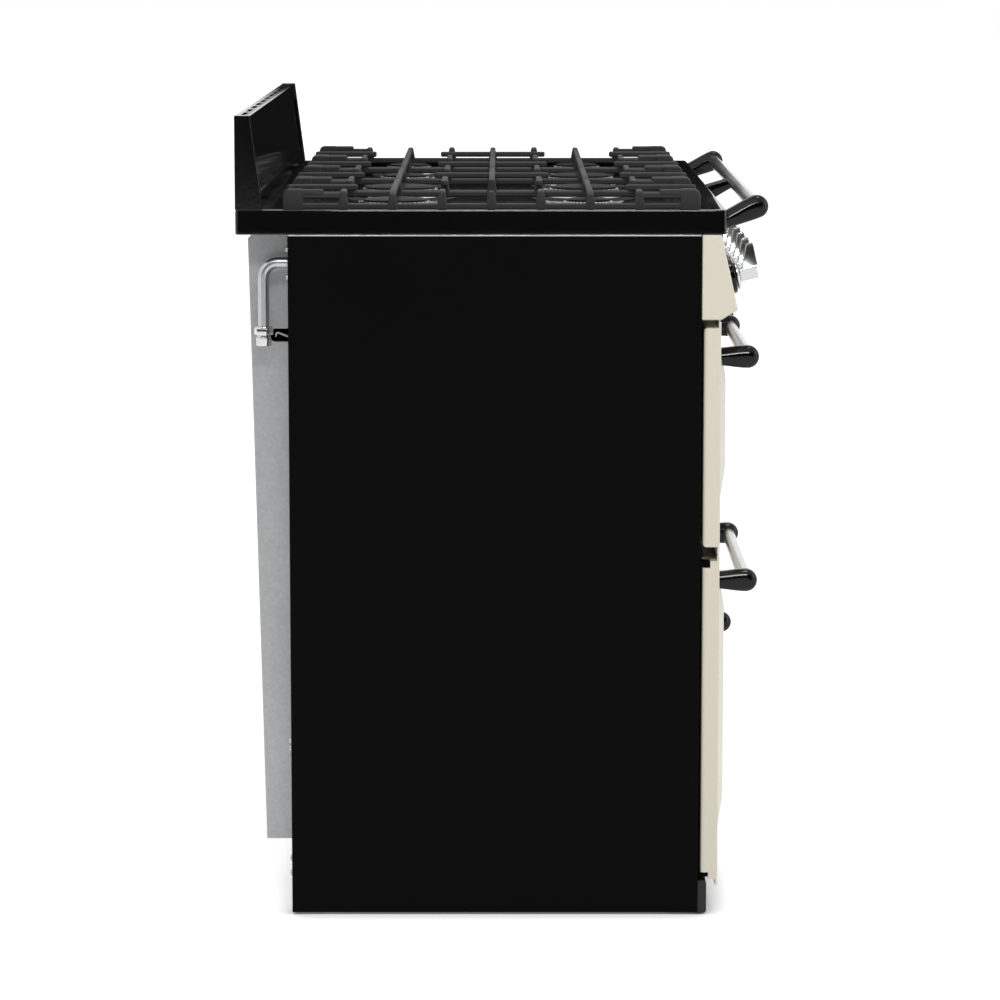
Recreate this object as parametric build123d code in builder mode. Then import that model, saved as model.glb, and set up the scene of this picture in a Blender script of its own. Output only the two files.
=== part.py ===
"""Wide free-standing gas range cooker: eight burners, a grill, two ovens and a storage drawer.

Millimetres, +Z up, the front faces -Y. The origin is on the floor, under the middle of the cooker.
"""
import os
from math import hypot

from build123d import *

os.makedirs("parts", exist_ok=True)

# Overall sizes
width = 1100.0              # over the side panels
hob_height = 900.0          # floor to the hob rim
pan_length = 525.0          # pan supports, front to back; the depth follows them
base_height = 30.0          # floor to the base sheet
half = width / 2

# Sheet metal and working clearances
side_sheet = 1.5
sheet = 2.0
frame_sheet = 4.0           # folded front frame
liner_sheet = 3.0           # enamelled cavity walls
seat_gap = 0.2              # pieces that lift off their seat
slide_gap = 0.3             # drawer on its runners
pin_fit = 0.1               # radial, hinge pins and spindles
socket_fit = 0.1            # radial, bars in their posts

# Hob tray and splashback
hob_depth = 31.0            # skirt height
rim_width = 18.0
rim_drop = 12.0             # rim to the recessed deck
back_rim = 44.0             # rim under the splashback
pan_middle = 13.5           # middle of the pan supports
pan_edge = 14.0             # pan supports to the rim
hob_front_hang = 31.5       # hob past the carcass front
hob_back_hang = 66.0        # hob past the side panels, behind
splash_height = 117.0
splash_foot = 35.0          # thickness at the hob
splash_top = 20.0           # thickness at the top edge
splash_margin = 22.0        # border round the recessed front
splash_recess = 2.5
splash_wall = 5.0
vent_count = 9
vent_length = 78.0
vent_width = 7.0
hob_front = pan_middle - pan_length / 2 - pan_edge - rim_width
hob_back = pan_middle + pan_length / 2 + pan_edge + back_rim
body_front = hob_front + hob_front_hang
body_back = hob_back - hob_back_hang
deck_top = hob_height - rim_drop
deck_under = deck_top - sheet
panel_top = hob_height - hob_depth

# Side panels and the galvanised rear cover
panel_gap = 3.0             # floor to the side panels
panel_return = 20.0         # rear return flange
cover_inset = 60.0          # cover wall in from the side panel
cover_bottom = 86.0
cover_top_depth = 53.0      # behind the side panels, at the top
cover_foot_depth = 35.0     # and at the bottom
cover_chamfer = 9.0
cover_slot_height = 17.0
cover_slot_depth = 18.0
cover_slot_level = hob_height - 162.5
cover_tab = 12.0
cover_tab_shift = 4.0       # tab behind the slot's front end

# Control fascia
fascia_top_run = 24.5       # carcass front to the top edge
fascia_low_run = 45.5       # carcass front to the lower edge
fascia_height = 107.0
fascia_lip = 13.0           # sloping underside, its height
fascia_bottom = panel_top - fascia_height
fascia_under_run = 24.5
fascia_sheet = 2.0

# Door columns
door_gap = 3.2              # carcass front to the door backs
door_body = 18.6            # depth of a door behind its skin
skin = 3.0
column_gap = 4.0            # between the two door columns
side_reveal = 1.0           # door edge in from the side panel
lip = 8.0                   # skin past the door body, top and bottom
row_gap = 2.0               # between skins, one above the other
door_bottom = 38.0
grill_door_height = 293.0
drawer_front_height = 276.0
door_top = fascia_bottom - row_gap
left_split = door_top - grill_door_height - row_gap
right_split = door_bottom + drawer_front_height
field_rise = 11.0
field_bevel = 51.0
field_side = 40.0
field_low = 40.0
field_high = 26.0
corner_round = 5.0          # rear edges of a door body
door_border = 27.0          # solid border round the hollow of a door
inner_inset = 22.0          # inner panel in from the door body
inner_sheet = 2.0

# Handles and front rail
bar_radius = 8.5
post_end = 14.5             # radius round the bar
post_foot = 22.0            # height at the door
post_width = 24.0
handle_reach = 37.7         # door skin to the bar axis
handle_length = 400.0       # between post middles
handle_drop_high = 51.0     # bar below the skin top, upper doors
handle_drop_low = 43.5      # and lower doors
socket_depth = 14.0
rail_inset = 40.0           # end posts in from the side panels
rail_reach = 38.5           # hob front to the bar axis
rail_level = hob_height + 2.0
rail_root_level = hob_height - 15.0
rail_clip = 5.0             # foot block on the hob skirt
rail_arm = 14.0             # height of the middle post, behind the bar

# Cavities
opening_border = 45.0       # door edge to cavity, at the sides
opening_head = 40.0         # door edge to cavity, top and bottom
cavity_room = 63.0          # cavity to the rear edge of the side panels
cavity_back = body_back - cavity_room
rib = 6.0                   # shelf ledges pressed in the walls
rib_height = 4.0
shelf_bar = 5.0
shelf_gap = 1.0
shelf_wires = 11
shelf_margin = 12.0         # shelf and pan, short of the cavity ends
oven_ledges = (0.3, 0.6)    # shelf ledges, as shares of the cavity height
grill_ledge = 0.4
pan_depth = 32.0
pan_sheet = 1.5
seal_width = 8.0
seal_gap = 0.3
seal_offset = 4.0           # cavity edge to the seal

# Hinges
hinge_inset = 7.5           # pivot in from the door edge
hinge_back = 5.5            # pivot in from the door back
pin_radius = 2.5
pin_length = 12.0
hinge_nose = 4.0
hinge_plate = 5.0
notch_depth = 10.0
notch_width = 36.0
notch_body = 9.0            # notch into the door body
notch_room = 1.5            # air over the hinge plate
hinge_flange = 15.0
hinge_flange_start = 9.0
hinge_flange_sheet = 2.0
hinge_flange_height = 22.0
drop_pivot_depth = 6.3      # grill pivot behind the skin face
drop_pivot_rise = 17.0      # grill pivot over the skin edge
drop_arm = 5.0
drop_arm_width = 10.0
drop_inset = 60.0
drop_room = 0.7
drop_pin = 2.0
drop_pin_length = 20.0

# Drawer
drawer_side_gap = 26.0      # box in from the column edge
drawer_room = 6.0           # frame opening past the box, at the sides
drawer_head = 14.0          # frame opening under the top of the front
drawer_rear_room = 68.7     # box to the rear edge of the side panels
drawer_height = 186.0
drawer_low_room = 3.3       # frame opening under the box
drawer_floor = base_height + 33.3
runner_sheet = 3.0
runner_ledge = 10.0         # ledge under the box
runner_guide = 38.0

# Knobs and taps, along the normal of the fascia
knob_count = 11
knob_end = 90.0             # end knobs in from the side panels
knob_pitch = (width - 2 * knob_end) / (knob_count - 1)
knob_level = fascia_bottom + 47.0
bezel_radius = 22.5
bezel_height = 9.0
bezel_bore = 6.0
knob_gap = 0.5              # skirt over its bezel
skirt_radius = 18.5
skirt_height = 6.0
lever_reach = 36.0          # axis to the lever's tip
lever_heel = 9.0            # lever past the axis, on the other side
lever_width = 17.0          # at the heel
lever_tip = 11.0            # width at the tip
lever_height = 24.0         # over the skirt
lever_neck = 5.0            # skirt to the underside, at the neck
lever_lift = 15.0           # and at the tip
spindle_radius = 4.0
spindle_depth = 14.0
tap_radius = 11.0
tap_length = 39.0
manifold_side = 16.0

# Burners
pan_count = 4
pan_margin = 30.0           # pan supports in from the side panels
pan_between = 10.0
pan_pitch = (width - 2 * pan_margin) / pan_count
pan_width = pan_pitch - pan_between
burner_offset = 124.0       # burner from the pan support's middle
rear_crowns = (95.0, 107.0, 75.0, 72.0)
front_crowns = (70.0, 100.0, 99.0, 75.0)
crown_height = 9.0
crown_lift = 3.0            # crown over the deck
cup_depth = 32.0
cup_neck = 14.0             # crown radius less neck radius
cup_flange = 4.0
hole_room = 0.6
cap_height = 5.0
cap_inset = 3.0
port_count = 28
port_width = 2.2
port_height = 3.5

# Pan supports
iron = 8.0
iron_top = hob_height + 22.0
corner_top = iron_top + 2.0
rail_top = hob_height + 6.0
side_bar_drop = 2.0         # end side bars under the fingers
corner_width = 12.0
corner_length = 24.0
corner_bar = 52.0
post_steps = (62.0, 186.0)
stub = 38.0
finger_stop = 48.0
middle_finger = 77.0

# Gas inlet
inlet_side = 30.0           # pipe in from the side panel
inlet_level = hob_height - 68.0
inlet_reach = body_back + 32.0
inlet_end = hob_height - 157.0
pipe_radius = 7.0
pipe_bend = 19.0
pipe_ramp = 99.5            # carcass front to the level run of the pipe
nut_flats = 22.0
nut_height = 24.0
nut_bore = 7.5
nut_seat = 8.0

# Oven and grill burners
burner_tube = 9.0
burner_tube_back = 60.0
burner_tube_side = 40.0     # tube end to the cavity wall
burner_stand = 14.0
grill_burner = (300.0, 160.0, 22.0)

# Plinth, feet and screws
plinth_depth = 11.0
plinth_gap = 2.0
plinth_tuck = 2.5
plinth_round = 4.0
plinth_door_gap = 2.0       # plinth to the door bodies above it
foot_radius = 18.0
foot_pad = 8.0
foot_stem = 6.0
foot_inset = 70.0
screw_radius = 4.0
screw_head = 1.8
screw_lows = (53.0, 72.0, 215.0, 225.0)     # over the floor
screw_highs = (54.0, 19.0)  # under the top of the side panels

# Places worked out from the sizes above
inner_half = half - side_sheet
door_back = body_front - door_gap
skin_back = door_back - door_body
skin_front = skin_back - skin
frame_back = body_front + frame_sheet
left_column = (-half + side_reveal, -column_gap / 2)
right_column = (column_gap / 2, half - side_reveal)
grill_rows = (left_split + row_gap, door_top)
left_rows = (door_bottom, left_split)
right_rows = (right_split + row_gap, door_top)
drawer_rows = (door_bottom, right_split)
bar_line = skin_front - handle_reach
rail_line = hob_front - rail_reach
cover_half = half - cover_inset
rear_sheet_back = body_back - side_sheet
rear_sheet_front = rear_sheet_back - sheet
pivot_line = door_back - hinge_back
drop_line = skin_front + drop_pivot_depth
drop_level = grill_rows[0] + drop_pivot_rise
inlet_x = -half + inlet_side
fascia_top = (body_front - fascia_top_run, panel_top)
fascia_low = (body_front - fascia_low_run, fascia_bottom + fascia_lip)
fascia_run = fascia_top[1] - fascia_low[1]
fascia_lean = fascia_top[0] - fascia_low[0]
knob_line = fascia_top[0] - fascia_lean * (fascia_top[1] - knob_level) / fascia_run
knob_xs = [(i - (knob_count - 1) / 2) * knob_pitch for i in range(knob_count)]
pan_xs = [(i - (pan_count - 1) / 2) * pan_pitch for i in range(pan_count)]
burners = []
for pan_x, rear_crown, front_crown in zip(pan_xs, rear_crowns, front_crowns):
    burners.append((pan_x, pan_middle + burner_offset, rear_crown / 2))
    burners.append((pan_x, pan_middle - burner_offset, front_crown / 2))


def save(piece, name):
    """Label a finished piece and write it under its own name."""
    piece.part.label = name
    export_step(piece.part, "parts/" + name + ".step")


def block(xs, ys, zs, mode=Mode.ADD):
    """Add or cut a box between two corners in the open part."""
    with Locations(((xs[0] + xs[1]) / 2, (ys[0] + ys[1]) / 2, (zs[0] + zs[1]) / 2)):
        Box(xs[1] - xs[0], ys[1] - ys[0], zs[1] - zs[0], mode=mode)


def profile_bar(points, start, end, mode=Mode.ADD):
    """Extrude a profile drawn in Y and Z along X, from start to end."""
    with BuildSketch(Plane.YZ.offset(start)) as outline:
        with BuildLine():
            Polyline(*points, close=True)
        make_face()
    extrude(outline.sketch, amount=end - start, mode=mode)


def inset(span, side, other=None):
    """Return a span drawn in at both ends."""
    return span[0] + side, span[1] - (side if other is None else other)


def knob_plane(x):
    """Plane on the fascia face at a knob: z outwards, x along the cooker."""
    return Plane(origin=(x, knob_line, knob_level), x_dir=(1, 0, 0), z_dir=(0, -fascia_run, fascia_lean))


# Cavity openings, from the doors that close them
grill_opening = (inset(left_column, opening_border), inset(grill_rows, opening_head))
left_opening = (inset(left_column, opening_border), inset(left_rows, opening_head))
right_opening = (inset(right_column, opening_border), inset(right_rows, opening_head))
drawer_opening = (inset(right_column, drawer_side_gap - drawer_room),
                  (drawer_floor - drawer_low_room, right_split - drawer_head))

# Carcass: base sheet, middle divider and rear sheet, welded into one
with BuildPart() as carcass:
    block((-inner_half, inner_half), (frame_back, rear_sheet_back), (base_height, base_height + sheet))
    block((-sheet / 2, sheet / 2), (frame_back, rear_sheet_back), (base_height, door_top))
    block((-inner_half, inner_half), (rear_sheet_front, rear_sheet_back), (base_height, panel_top))
    with Locations(Plane.XZ.offset(-rear_sheet_back) * Location((inlet_x, inlet_level, 0))):
        Hole(pipe_radius + hole_room, depth=2 * sheet)
save(carcass, "carcass")

# Front frame with its four openings
with BuildPart() as front_frame:
    block((-inner_half, inner_half), (body_front, frame_back), (base_height, fascia_bottom))
    for opening in (grill_opening, left_opening, right_opening, drawer_opening):
        block(opening[0], (body_front, frame_back), opening[1], Mode.SUBTRACT)
save(front_frame, "front_frame")

# Side panels with a rear return
with BuildPart() as side_panels:
    for side in (-1, 1):
        outer = sorted((side * half, side * inner_half))
        flange = sorted((side * half, side * (inner_half - panel_return)))
        block(outer, (body_front, body_back), (panel_gap, panel_top))
        block(flange, (rear_sheet_back, body_back), (panel_gap, panel_top))
save(side_panels, "side_panels")


def cover_profile(wall):
    """Side outline of the rear cover, drawn in by a wall."""
    top = panel_top - wall
    rear = body_back + cover_top_depth - wall
    foot = body_back + cover_foot_depth - wall
    return [(rear_sheet_back, cover_bottom + wall), (foot, cover_bottom + wall), (rear, top - cover_chamfer),
            (rear - cover_chamfer, top), (rear_sheet_back, top)]


# Galvanised rear cover with an anchor slot and a bent tab at each side
with BuildPart() as rear_cover:
    profile_bar(cover_profile(0), -cover_half, cover_half)
    profile_bar(cover_profile(side_sheet), -cover_half + side_sheet, cover_half - side_sheet, Mode.SUBTRACT)
    slot_span = (rear_sheet_back, body_back + cover_slot_depth)
    slot_rows = (cover_slot_level - cover_slot_height / 2, cover_slot_level + cover_slot_height / 2)
    block((-cover_half, cover_half), slot_span, slot_rows, Mode.SUBTRACT)
    with BuildSketch(Plane.YZ.offset(-cover_half)):
        with Locations((slot_span[1], cover_slot_level)):
            Circle(cover_slot_height / 2)
    extrude(amount=2 * cover_half, mode=Mode.SUBTRACT)
    for side in (-1, 1):
        tab = sorted((side * cover_half, side * (cover_half - cover_tab)))
        block(tab, inset(slot_span, cover_tab_shift, -cover_tab_shift), (slot_rows[0] - side_sheet, slot_rows[0]))
save(rear_cover, "rear_cover")

# Plinth, with a rounded kick edge
with BuildPart() as plinth:
    plinth_front = body_front - plinth_depth
    plinth_top = door_bottom + lip - plinth_door_gap
    block((-inner_half, inner_half), (plinth_front, body_front + plinth_tuck), (plinth_gap, base_height))
    block((-inner_half, inner_half), (plinth_front, body_front), (base_height, plinth_top))
    fillet(plinth.edges().filter_by(Axis.X).group_by(Axis.Y)[0], plinth_round)
save(plinth, "plinth")

# Levelling feet
with BuildPart() as feet:
    foot_x = inner_half - foot_inset
    for x in (-foot_x, foot_x):
        for y in (body_front + foot_inset, rear_sheet_front - foot_inset):
            with Locations((x, y, 0)):
                Cylinder(foot_radius, foot_pad, align=(Align.CENTER, Align.CENTER, Align.MIN))
                Cylinder(foot_stem, base_height, align=(Align.CENTER, Align.CENTER, Align.MIN))
save(feet, "feet")

# Hob tray: a pressed sheet with a raised rim, open below
with BuildPart() as hob_tray:
    hob_span = (hob_front, hob_back)
    block((-half, half), hob_span, (panel_top, hob_height))
    deck_xs = (-half + rim_width, half - rim_width)
    deck_ys = (hob_front + rim_width, hob_back - back_rim)
    block(deck_xs, deck_ys, (deck_top, hob_height), Mode.SUBTRACT)
    fillet(hob_tray.edges().group_by(Axis.Z)[-1], sheet)
    block(inset((-half, half), sheet), inset(hob_span, sheet), (panel_top, deck_under), Mode.SUBTRACT)
    rim_under = (deck_under, hob_height - 2 * sheet)
    for side in (-1, 1):
        rim_xs = sorted((side * (half - sheet), side * (half - rim_width + sheet)))
        block(rim_xs, inset(hob_span, sheet), rim_under, Mode.SUBTRACT)
    for rim_ys in ((hob_front, deck_ys[0]), (deck_ys[1], hob_back)):
        block(inset((-half, half), sheet), inset(rim_ys, sheet), rim_under, Mode.SUBTRACT)
    for x, y, crown in burners:
        with Locations((x, y, deck_top)):
            Hole(crown - cup_neck + hole_room, depth=3 * sheet)
save(hob_tray, "hob_tray")


def splash_front(level):
    """Y of the sloping splashback face at a level above the hob."""
    return hob_back - splash_foot + (splash_foot - splash_top) * level / splash_height


def splash_profile(start, end, front, rear):
    """Splashback outline between two levels, its face moved in by front."""
    low = hob_height + start
    high = hob_height + end
    return [(splash_front(start) + front, low), (splash_front(end) + front, high), (rear, high), (rear, low)]


# Splashback upstand, hollow, with a recessed face and vents along its top
with BuildPart() as splashback:
    profile_bar(splash_profile(0, splash_height, 0, hob_back), -half, half)
    fillet(splashback.edges().filter_by(Axis.X).group_by(Axis.Z)[-1], sheet)
    room = splash_profile(0, splash_height - splash_wall, splash_wall, hob_back - sheet)
    profile_bar(room, -half + sheet, half - sheet, Mode.SUBTRACT)
    face_rows = (splash_margin, splash_height - splash_margin)
    face_cut = [(splash_front(face_rows[0]) - sheet, hob_height + face_rows[0]),
                (splash_front(face_rows[0]) + splash_recess, hob_height + face_rows[0]),
                (splash_front(face_rows[1]) + splash_recess, hob_height + face_rows[1]),
                (splash_front(face_rows[1]) - sheet, hob_height + face_rows[1])]
    profile_bar(face_cut, -half + splash_margin, half - splash_margin, Mode.SUBTRACT)
    vent_pitch = (width - splash_margin) / vent_count
    with Locations((0, hob_back - splash_top / 2, hob_height + splash_height)):
        with GridLocations(vent_pitch, 0, vent_count, 1):
            Box(vent_length, vent_width, 3 * splash_wall, mode=Mode.SUBTRACT)
save(splashback, "splashback")

# Burner cups under the deck, toothed crowns and enamelled caps above it
seat_level = deck_top + crown_lift
up = (Align.CENTER, Align.CENTER, Align.MIN)
with BuildPart() as burner_cups:
    for x, y, crown in burners:
        neck = crown - cup_neck
        with Locations((x, y, deck_under - cup_depth)):
            Cylinder(neck + cup_flange, cup_depth, align=up)
            Cylinder(neck, cup_depth + sheet + crown_lift, align=up)
        with Locations((x, y, deck_under - cup_depth + cup_flange)):
            Cylinder(neck - cup_flange, cup_depth + sheet + crown_lift, align=up, mode=Mode.SUBTRACT)
save(burner_cups, "burner_cups")

with BuildPart() as burner_crowns:
    for x, y, crown in burners:
        with Locations((x, y, seat_level)):
            Cylinder(crown, crown_height, align=up)
            Cylinder(crown - cup_neck - cup_flange, crown_height, align=up, mode=Mode.SUBTRACT)
        with Locations((x, y, seat_level + cup_flange)):
            Cylinder(crown - 2 * cup_flange, crown_height, align=up, mode=Mode.SUBTRACT)
        with Locations((x, y, seat_level + crown_height - port_height / 2)):
            with PolarLocations(crown - cup_flange, port_count):
                Box(4 * cup_flange, port_width, port_height, mode=Mode.SUBTRACT)
save(burner_crowns, "burner_crowns")

with BuildPart() as burner_caps:
    for x, y, crown in burners:
        with Locations((x, y, seat_level + crown_height)):
            Cylinder(crown - cap_inset, cap_height, align=up)
    fillet(burner_caps.edges().group_by(Axis.Z)[-1], cap_height / 2)
save(burner_caps, "burner_caps")


def pan_support(x, with_middle):
    """One cast pan support about x, with or without its middle bars."""
    rows = (rail_top - iron, rail_top)
    bars = (iron_top - iron, iron_top)
    rise = (rail_top, iron_top)
    end = pan_length / 2
    middle = (x - iron / 2, x + iron / 2)
    across = (x - pan_width / 2, x + pan_width / 2)
    with BuildPart() as support:
        for side in (-1, 1):
            edge = x + side * pan_width / 2
            rail = sorted((edge, edge - side * iron))
            block(rail, (pan_middle - end, pan_middle + end), rows)
            for step in (-burner_offset, 0, burner_offset):
                y = pan_middle + step
                block(rail, (y - iron / 2, y + iron / 2), rise)
            for step in post_steps:
                for y in (pan_middle - step, pan_middle + step):
                    block(rail, (y - iron / 2, y + iron / 2), rise)
                    block(sorted((edge, edge - side * stub)), (y - iron / 2, y + iron / 2), bars)
            for tail in (-1, 1):
                tip = pan_middle + tail * end
                corner = sorted((tip, tip - tail * corner_length))
                block(sorted((edge, edge - side * corner_width)), corner, (deck_top + seat_gap, corner_top))
                block(rail, sorted((tip, tip - tail * corner_bar)), (corner_top - iron, corner_top))
                block(rail, sorted((tip, pan_middle + tail * post_steps[-1])),
                      (bars[0] - side_bar_drop, bars[1] - side_bar_drop))
        for tail in (-1, 1):
            tip = pan_middle + tail * end
            low_end = sorted((tip, tip - tail * iron))
            block(across, low_end, rows)
            block(middle, low_end, rise)
            block(middle, sorted((tip, pan_middle + tail * (burner_offset + finger_stop))), bars)
            y = pan_middle + tail * burner_offset
            block(across, (y - iron / 2, y + iron / 2), bars)
        if with_middle:
            block(across, (pan_middle - iron / 2, pan_middle + iron / 2), bars)
            block(middle, (pan_middle - middle_finger, pan_middle + middle_finger), bars)
    return support


# Four pan supports; the left one is open in the middle
for number, pan_x in enumerate(pan_xs, start=1):
    save(pan_support(pan_x, number > 1), "pan_support_" + str(number))

# Control fascia: a folded sheet, open at the back, with a hole for each spindle
fascia_slope = hypot(fascia_run, fascia_lean)
fascia_wall = fascia_sheet * fascia_slope / fascia_run
fascia_half = half - side_reveal
with BuildPart() as control_fascia:
    under = body_front - fascia_under_run
    profile_bar([(body_front, panel_top), fascia_top, fascia_low, (under, fascia_bottom),
                 (body_front, fascia_bottom)], -fascia_half, fascia_half)
    top_room = panel_top - fascia_sheet
    lean_at_room = fascia_top[0] - fascia_lean * fascia_sheet / fascia_run
    profile_bar([(body_front, top_room), (lean_at_room + fascia_wall, top_room),
                 (fascia_low[0] + fascia_wall, fascia_low[1]), (under + fascia_sheet, fascia_bottom + fascia_sheet),
                 (body_front, fascia_bottom + fascia_sheet)],
                -fascia_half + fascia_sheet, fascia_half - fascia_sheet, Mode.SUBTRACT)
    for x in knob_xs:
        with Locations(knob_plane(x)):
            Cylinder(bezel_bore, 4 * fascia_sheet, mode=Mode.SUBTRACT)
save(control_fascia, "control_fascia")

# Bezel rings on the fascia
with BuildPart() as knob_bezels:
    for x in knob_xs:
        with Locations(knob_plane(x)):
            Cylinder(bezel_radius, bezel_height, align=up)
            Cylinder(bezel_bore, 3 * bezel_height, mode=Mode.SUBTRACT)
save(knob_bezels, "knob_bezels")

# Gas taps behind the fascia, on one square manifold
tap_end = fascia_sheet + tap_length
with BuildPart() as gas_taps:
    for x in knob_xs:
        with Locations(knob_plane(x) * Location((0, 0, -tap_end))):
            Cylinder(tap_radius, tap_length, align=up)
        with Locations(knob_plane(x) * Location((0, 0, -spindle_depth - slide_gap))):
            Cylinder(spindle_radius + pin_fit, spindle_depth, align=up, mode=Mode.SUBTRACT)
save(gas_taps, "gas_taps")

with BuildPart(knob_plane(0)) as gas_manifold:
    with Locations((0, 0, -tap_end - manifold_side / 2)):
        Box(2 * inner_half, manifold_side, manifold_side)
        Box(2 * inner_half, manifold_side - 2 * sheet, manifold_side - 2 * sheet, mode=Mode.SUBTRACT)
save(gas_manifold, "gas_manifold")

# Knobs: spindle, skirt and lever turn as one, and the lever points up at off
lever_front = [(-lever_width / 2, -lever_heel), (lever_width / 2, -lever_heel),
               (lever_tip / 2, lever_reach), (-lever_tip / 2, lever_reach)]
lever_under = [(lever_heel, 0), (lever_heel, lever_neck), (lever_reach, lever_lift), (lever_reach, 0)]
for number, x in enumerate(knob_xs, start=1):
    knob_axis = Axis((x, knob_line, knob_level), (0, -fascia_run, fascia_lean))
    skirt_top = knob_plane(x).offset(bezel_height + knob_gap + skirt_height)
    with BuildPart(knob_plane(x)) as knob:
        with BuildSketch(skirt_top) as front:
            with BuildLine():
                Polyline(*lever_front, close=True)
            make_face()
        extrude(front.sketch, amount=lever_height)
        fillet(knob.edges().filter_by(knob_axis), lever_tip / 4)
        fillet(knob.faces().sort_by(knob_axis)[-1].edges(), lever_tip / 8)
        with BuildSketch(Plane(origin=skirt_top.origin, x_dir=skirt_top.y_dir, z_dir=skirt_top.x_dir)) as under:
            with BuildLine():
                Polyline(*lever_under, close=True)
            make_face()
        extrude(under.sketch, amount=lever_width, both=True, mode=Mode.SUBTRACT)
        with Locations((0, 0, bezel_height + knob_gap)):
            Cylinder(skirt_radius, skirt_height, align=up)
        with Locations((0, 0, -spindle_depth)):
            Cylinder(spindle_radius, spindle_depth + bezel_height + knob_gap, align=up)
    save(knob, "knob_" + str(number))

# Gas inlet: from the manifold back through the rear sheet, then down to its nut
manifold_back = knob_plane(inlet_x) * Location((0, 0, -tap_end - manifold_side))
manifold_lead = knob_plane(inlet_x) * Location((0, 0, -tap_end - 3 * manifold_side))
with BuildPart() as gas_inlet_pipe:
    with BuildLine() as inlet_route:
        FilletPolyline(manifold_back.position, manifold_lead.position,
                       (inlet_x, body_front + pipe_ramp, inlet_level),
                       (inlet_x, inlet_reach, inlet_level), (inlet_x, inlet_reach, inlet_end), radius=pipe_bend)
    with BuildSketch(Plane(origin=inlet_route.line @ 0, z_dir=inlet_route.line % 0)):
        Circle(pipe_radius)
    sweep()
save(gas_inlet_pipe, "gas_inlet_pipe")

with BuildPart() as inlet_nut:
    nut_top = inlet_end + nut_seat
    with BuildSketch(Plane.XY.offset(nut_top - nut_height)):
        with Locations((inlet_x, inlet_reach)):
            RegularPolygon(nut_flats / 2, 6, major_radius=False)
    extrude(amount=nut_height)
    with Locations((inlet_x, inlet_reach, nut_top - nut_height)):
        Cylinder(nut_bore, nut_height - nut_seat, align=up, mode=Mode.SUBTRACT)
        Cylinder(pipe_radius + socket_fit, nut_height, align=up, mode=Mode.SUBTRACT)
save(inlet_nut, "inlet_nut")


def post_shape(x, root, tip, end=post_end, capped=True):
    """Add one post about x: a tapered arm from root to tip in Y and Z, with a round end where it caps the bar."""
    length = hypot(tip[0] - root[0], tip[1] - root[1])
    nose = ((tip[1] - root[1]) / length, (root[0] - tip[0]) / length)
    foot = post_foot / 2
    with BuildSketch(Plane.YZ.offset(x - post_width / 2)) as outline:
        with BuildLine():
            Polyline((root[0] + foot * nose[0], root[1] + foot * nose[1]),
                     (tip[0] + end * nose[0], tip[1] + end * nose[1]),
                     (tip[0] - end * nose[0], tip[1] - end * nose[1]),
                     (root[0] - foot * nose[0], root[1] - foot * nose[1]), close=True)
        make_face()
        if capped:
            with Locations(tip):
                Circle(end)
    extrude(outline.sketch, amount=post_width)


def cross_bar(x, tip, length, radius, mode=Mode.ADD):
    """Add or cut a round bar along X about the middle x."""
    with Locations(Location((x, tip[0], tip[1]), (0, 90, 0))):
        Cylinder(radius, length, mode=mode)


# Front rail: two end posts and a slim middle one on the hob skirt, and one long bar
rail_tip = (rail_line, rail_level)
rail_x = half - rail_inset
rail_socket = 2 * rail_x - post_width + 2 * socket_depth
with BuildPart() as rail_posts:
    for x in (-rail_x, rail_x):
        post_shape(x, (hob_front, rail_root_level), rail_tip)
    post_shape(0, (hob_front, rail_root_level), rail_tip, rail_arm / 2, capped=False)
    for x in (-rail_x, 0, rail_x):
        block((x - post_width / 2, x + post_width / 2), (hob_front - rail_clip, hob_front),
              (panel_top, rail_root_level + post_foot / 2))
    block((-half, half), (hob_front, hob_front + post_foot), (panel_top - post_foot, hob_height + post_foot),
          Mode.SUBTRACT)
    cross_bar(0, rail_tip, rail_socket, bar_radius + socket_fit, Mode.SUBTRACT)
save(rail_posts, "rail_posts")

with BuildPart() as rail_bar:
    cross_bar(0, rail_tip, rail_socket - 2 * socket_fit, bar_radius)
save(rail_bar, "rail_bar")


def door_field(column, rows, start, rise):
    """Loft the raised field of a door from the plane Y = start, outwards by rise."""
    across = column[1] - column[0] - 2 * field_side
    tall = rows[1] - rows[0] - field_low - field_high
    middle = ((column[0] + column[1]) / 2, (rows[0] + field_low + rows[1] - field_high) / 2)
    outlines = []
    for step, trim, corner in ((0, 0, field_bevel / 2), (rise, 2 * field_bevel, field_bevel / 4)):
        with BuildSketch(Plane.XZ.offset(step - start)) as outline:
            with Locations(middle):
                RectangleRounded(across - trim, tall - trim, corner)
        outlines.append(outline.sketch)
    return loft(outlines, ruled=True, mode=Mode.PRIVATE)


def door_pan(column, rows):
    """Outer pan of a door: a flat skin with a raised field, on a hollow body open at the back."""
    body_rows = inset(rows, lip)
    with BuildPart() as pan:
        block(column, (skin_back, door_back), body_rows)
        fillet(pan.faces().sort_by(Axis.Y)[-1].edges(), corner_round)
        block(column, (skin_front, skin_back), rows)
        fillet(pan.faces().sort_by(Axis.Y)[0].edges(), skin / 2)
        block(inset(column, door_border), (skin_back, door_back), inset(body_rows, door_border), Mode.SUBTRACT)
        block(inset(column, inner_inset), (door_back - inner_sheet, door_back), inset(body_rows, inner_inset),
              Mode.SUBTRACT)
        add(door_field(column, rows, skin_front, field_rise))
        add(door_field(column, rows, skin_back, field_rise), mode=Mode.SUBTRACT)
    return pan


def door_inner(column, rows):
    """Flat inner panel that closes the back of a door."""
    with BuildPart() as panel:
        block(inset(column, inner_inset), (door_back - inner_sheet, door_back), inset(rows, lip + inner_inset))
    return panel


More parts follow.
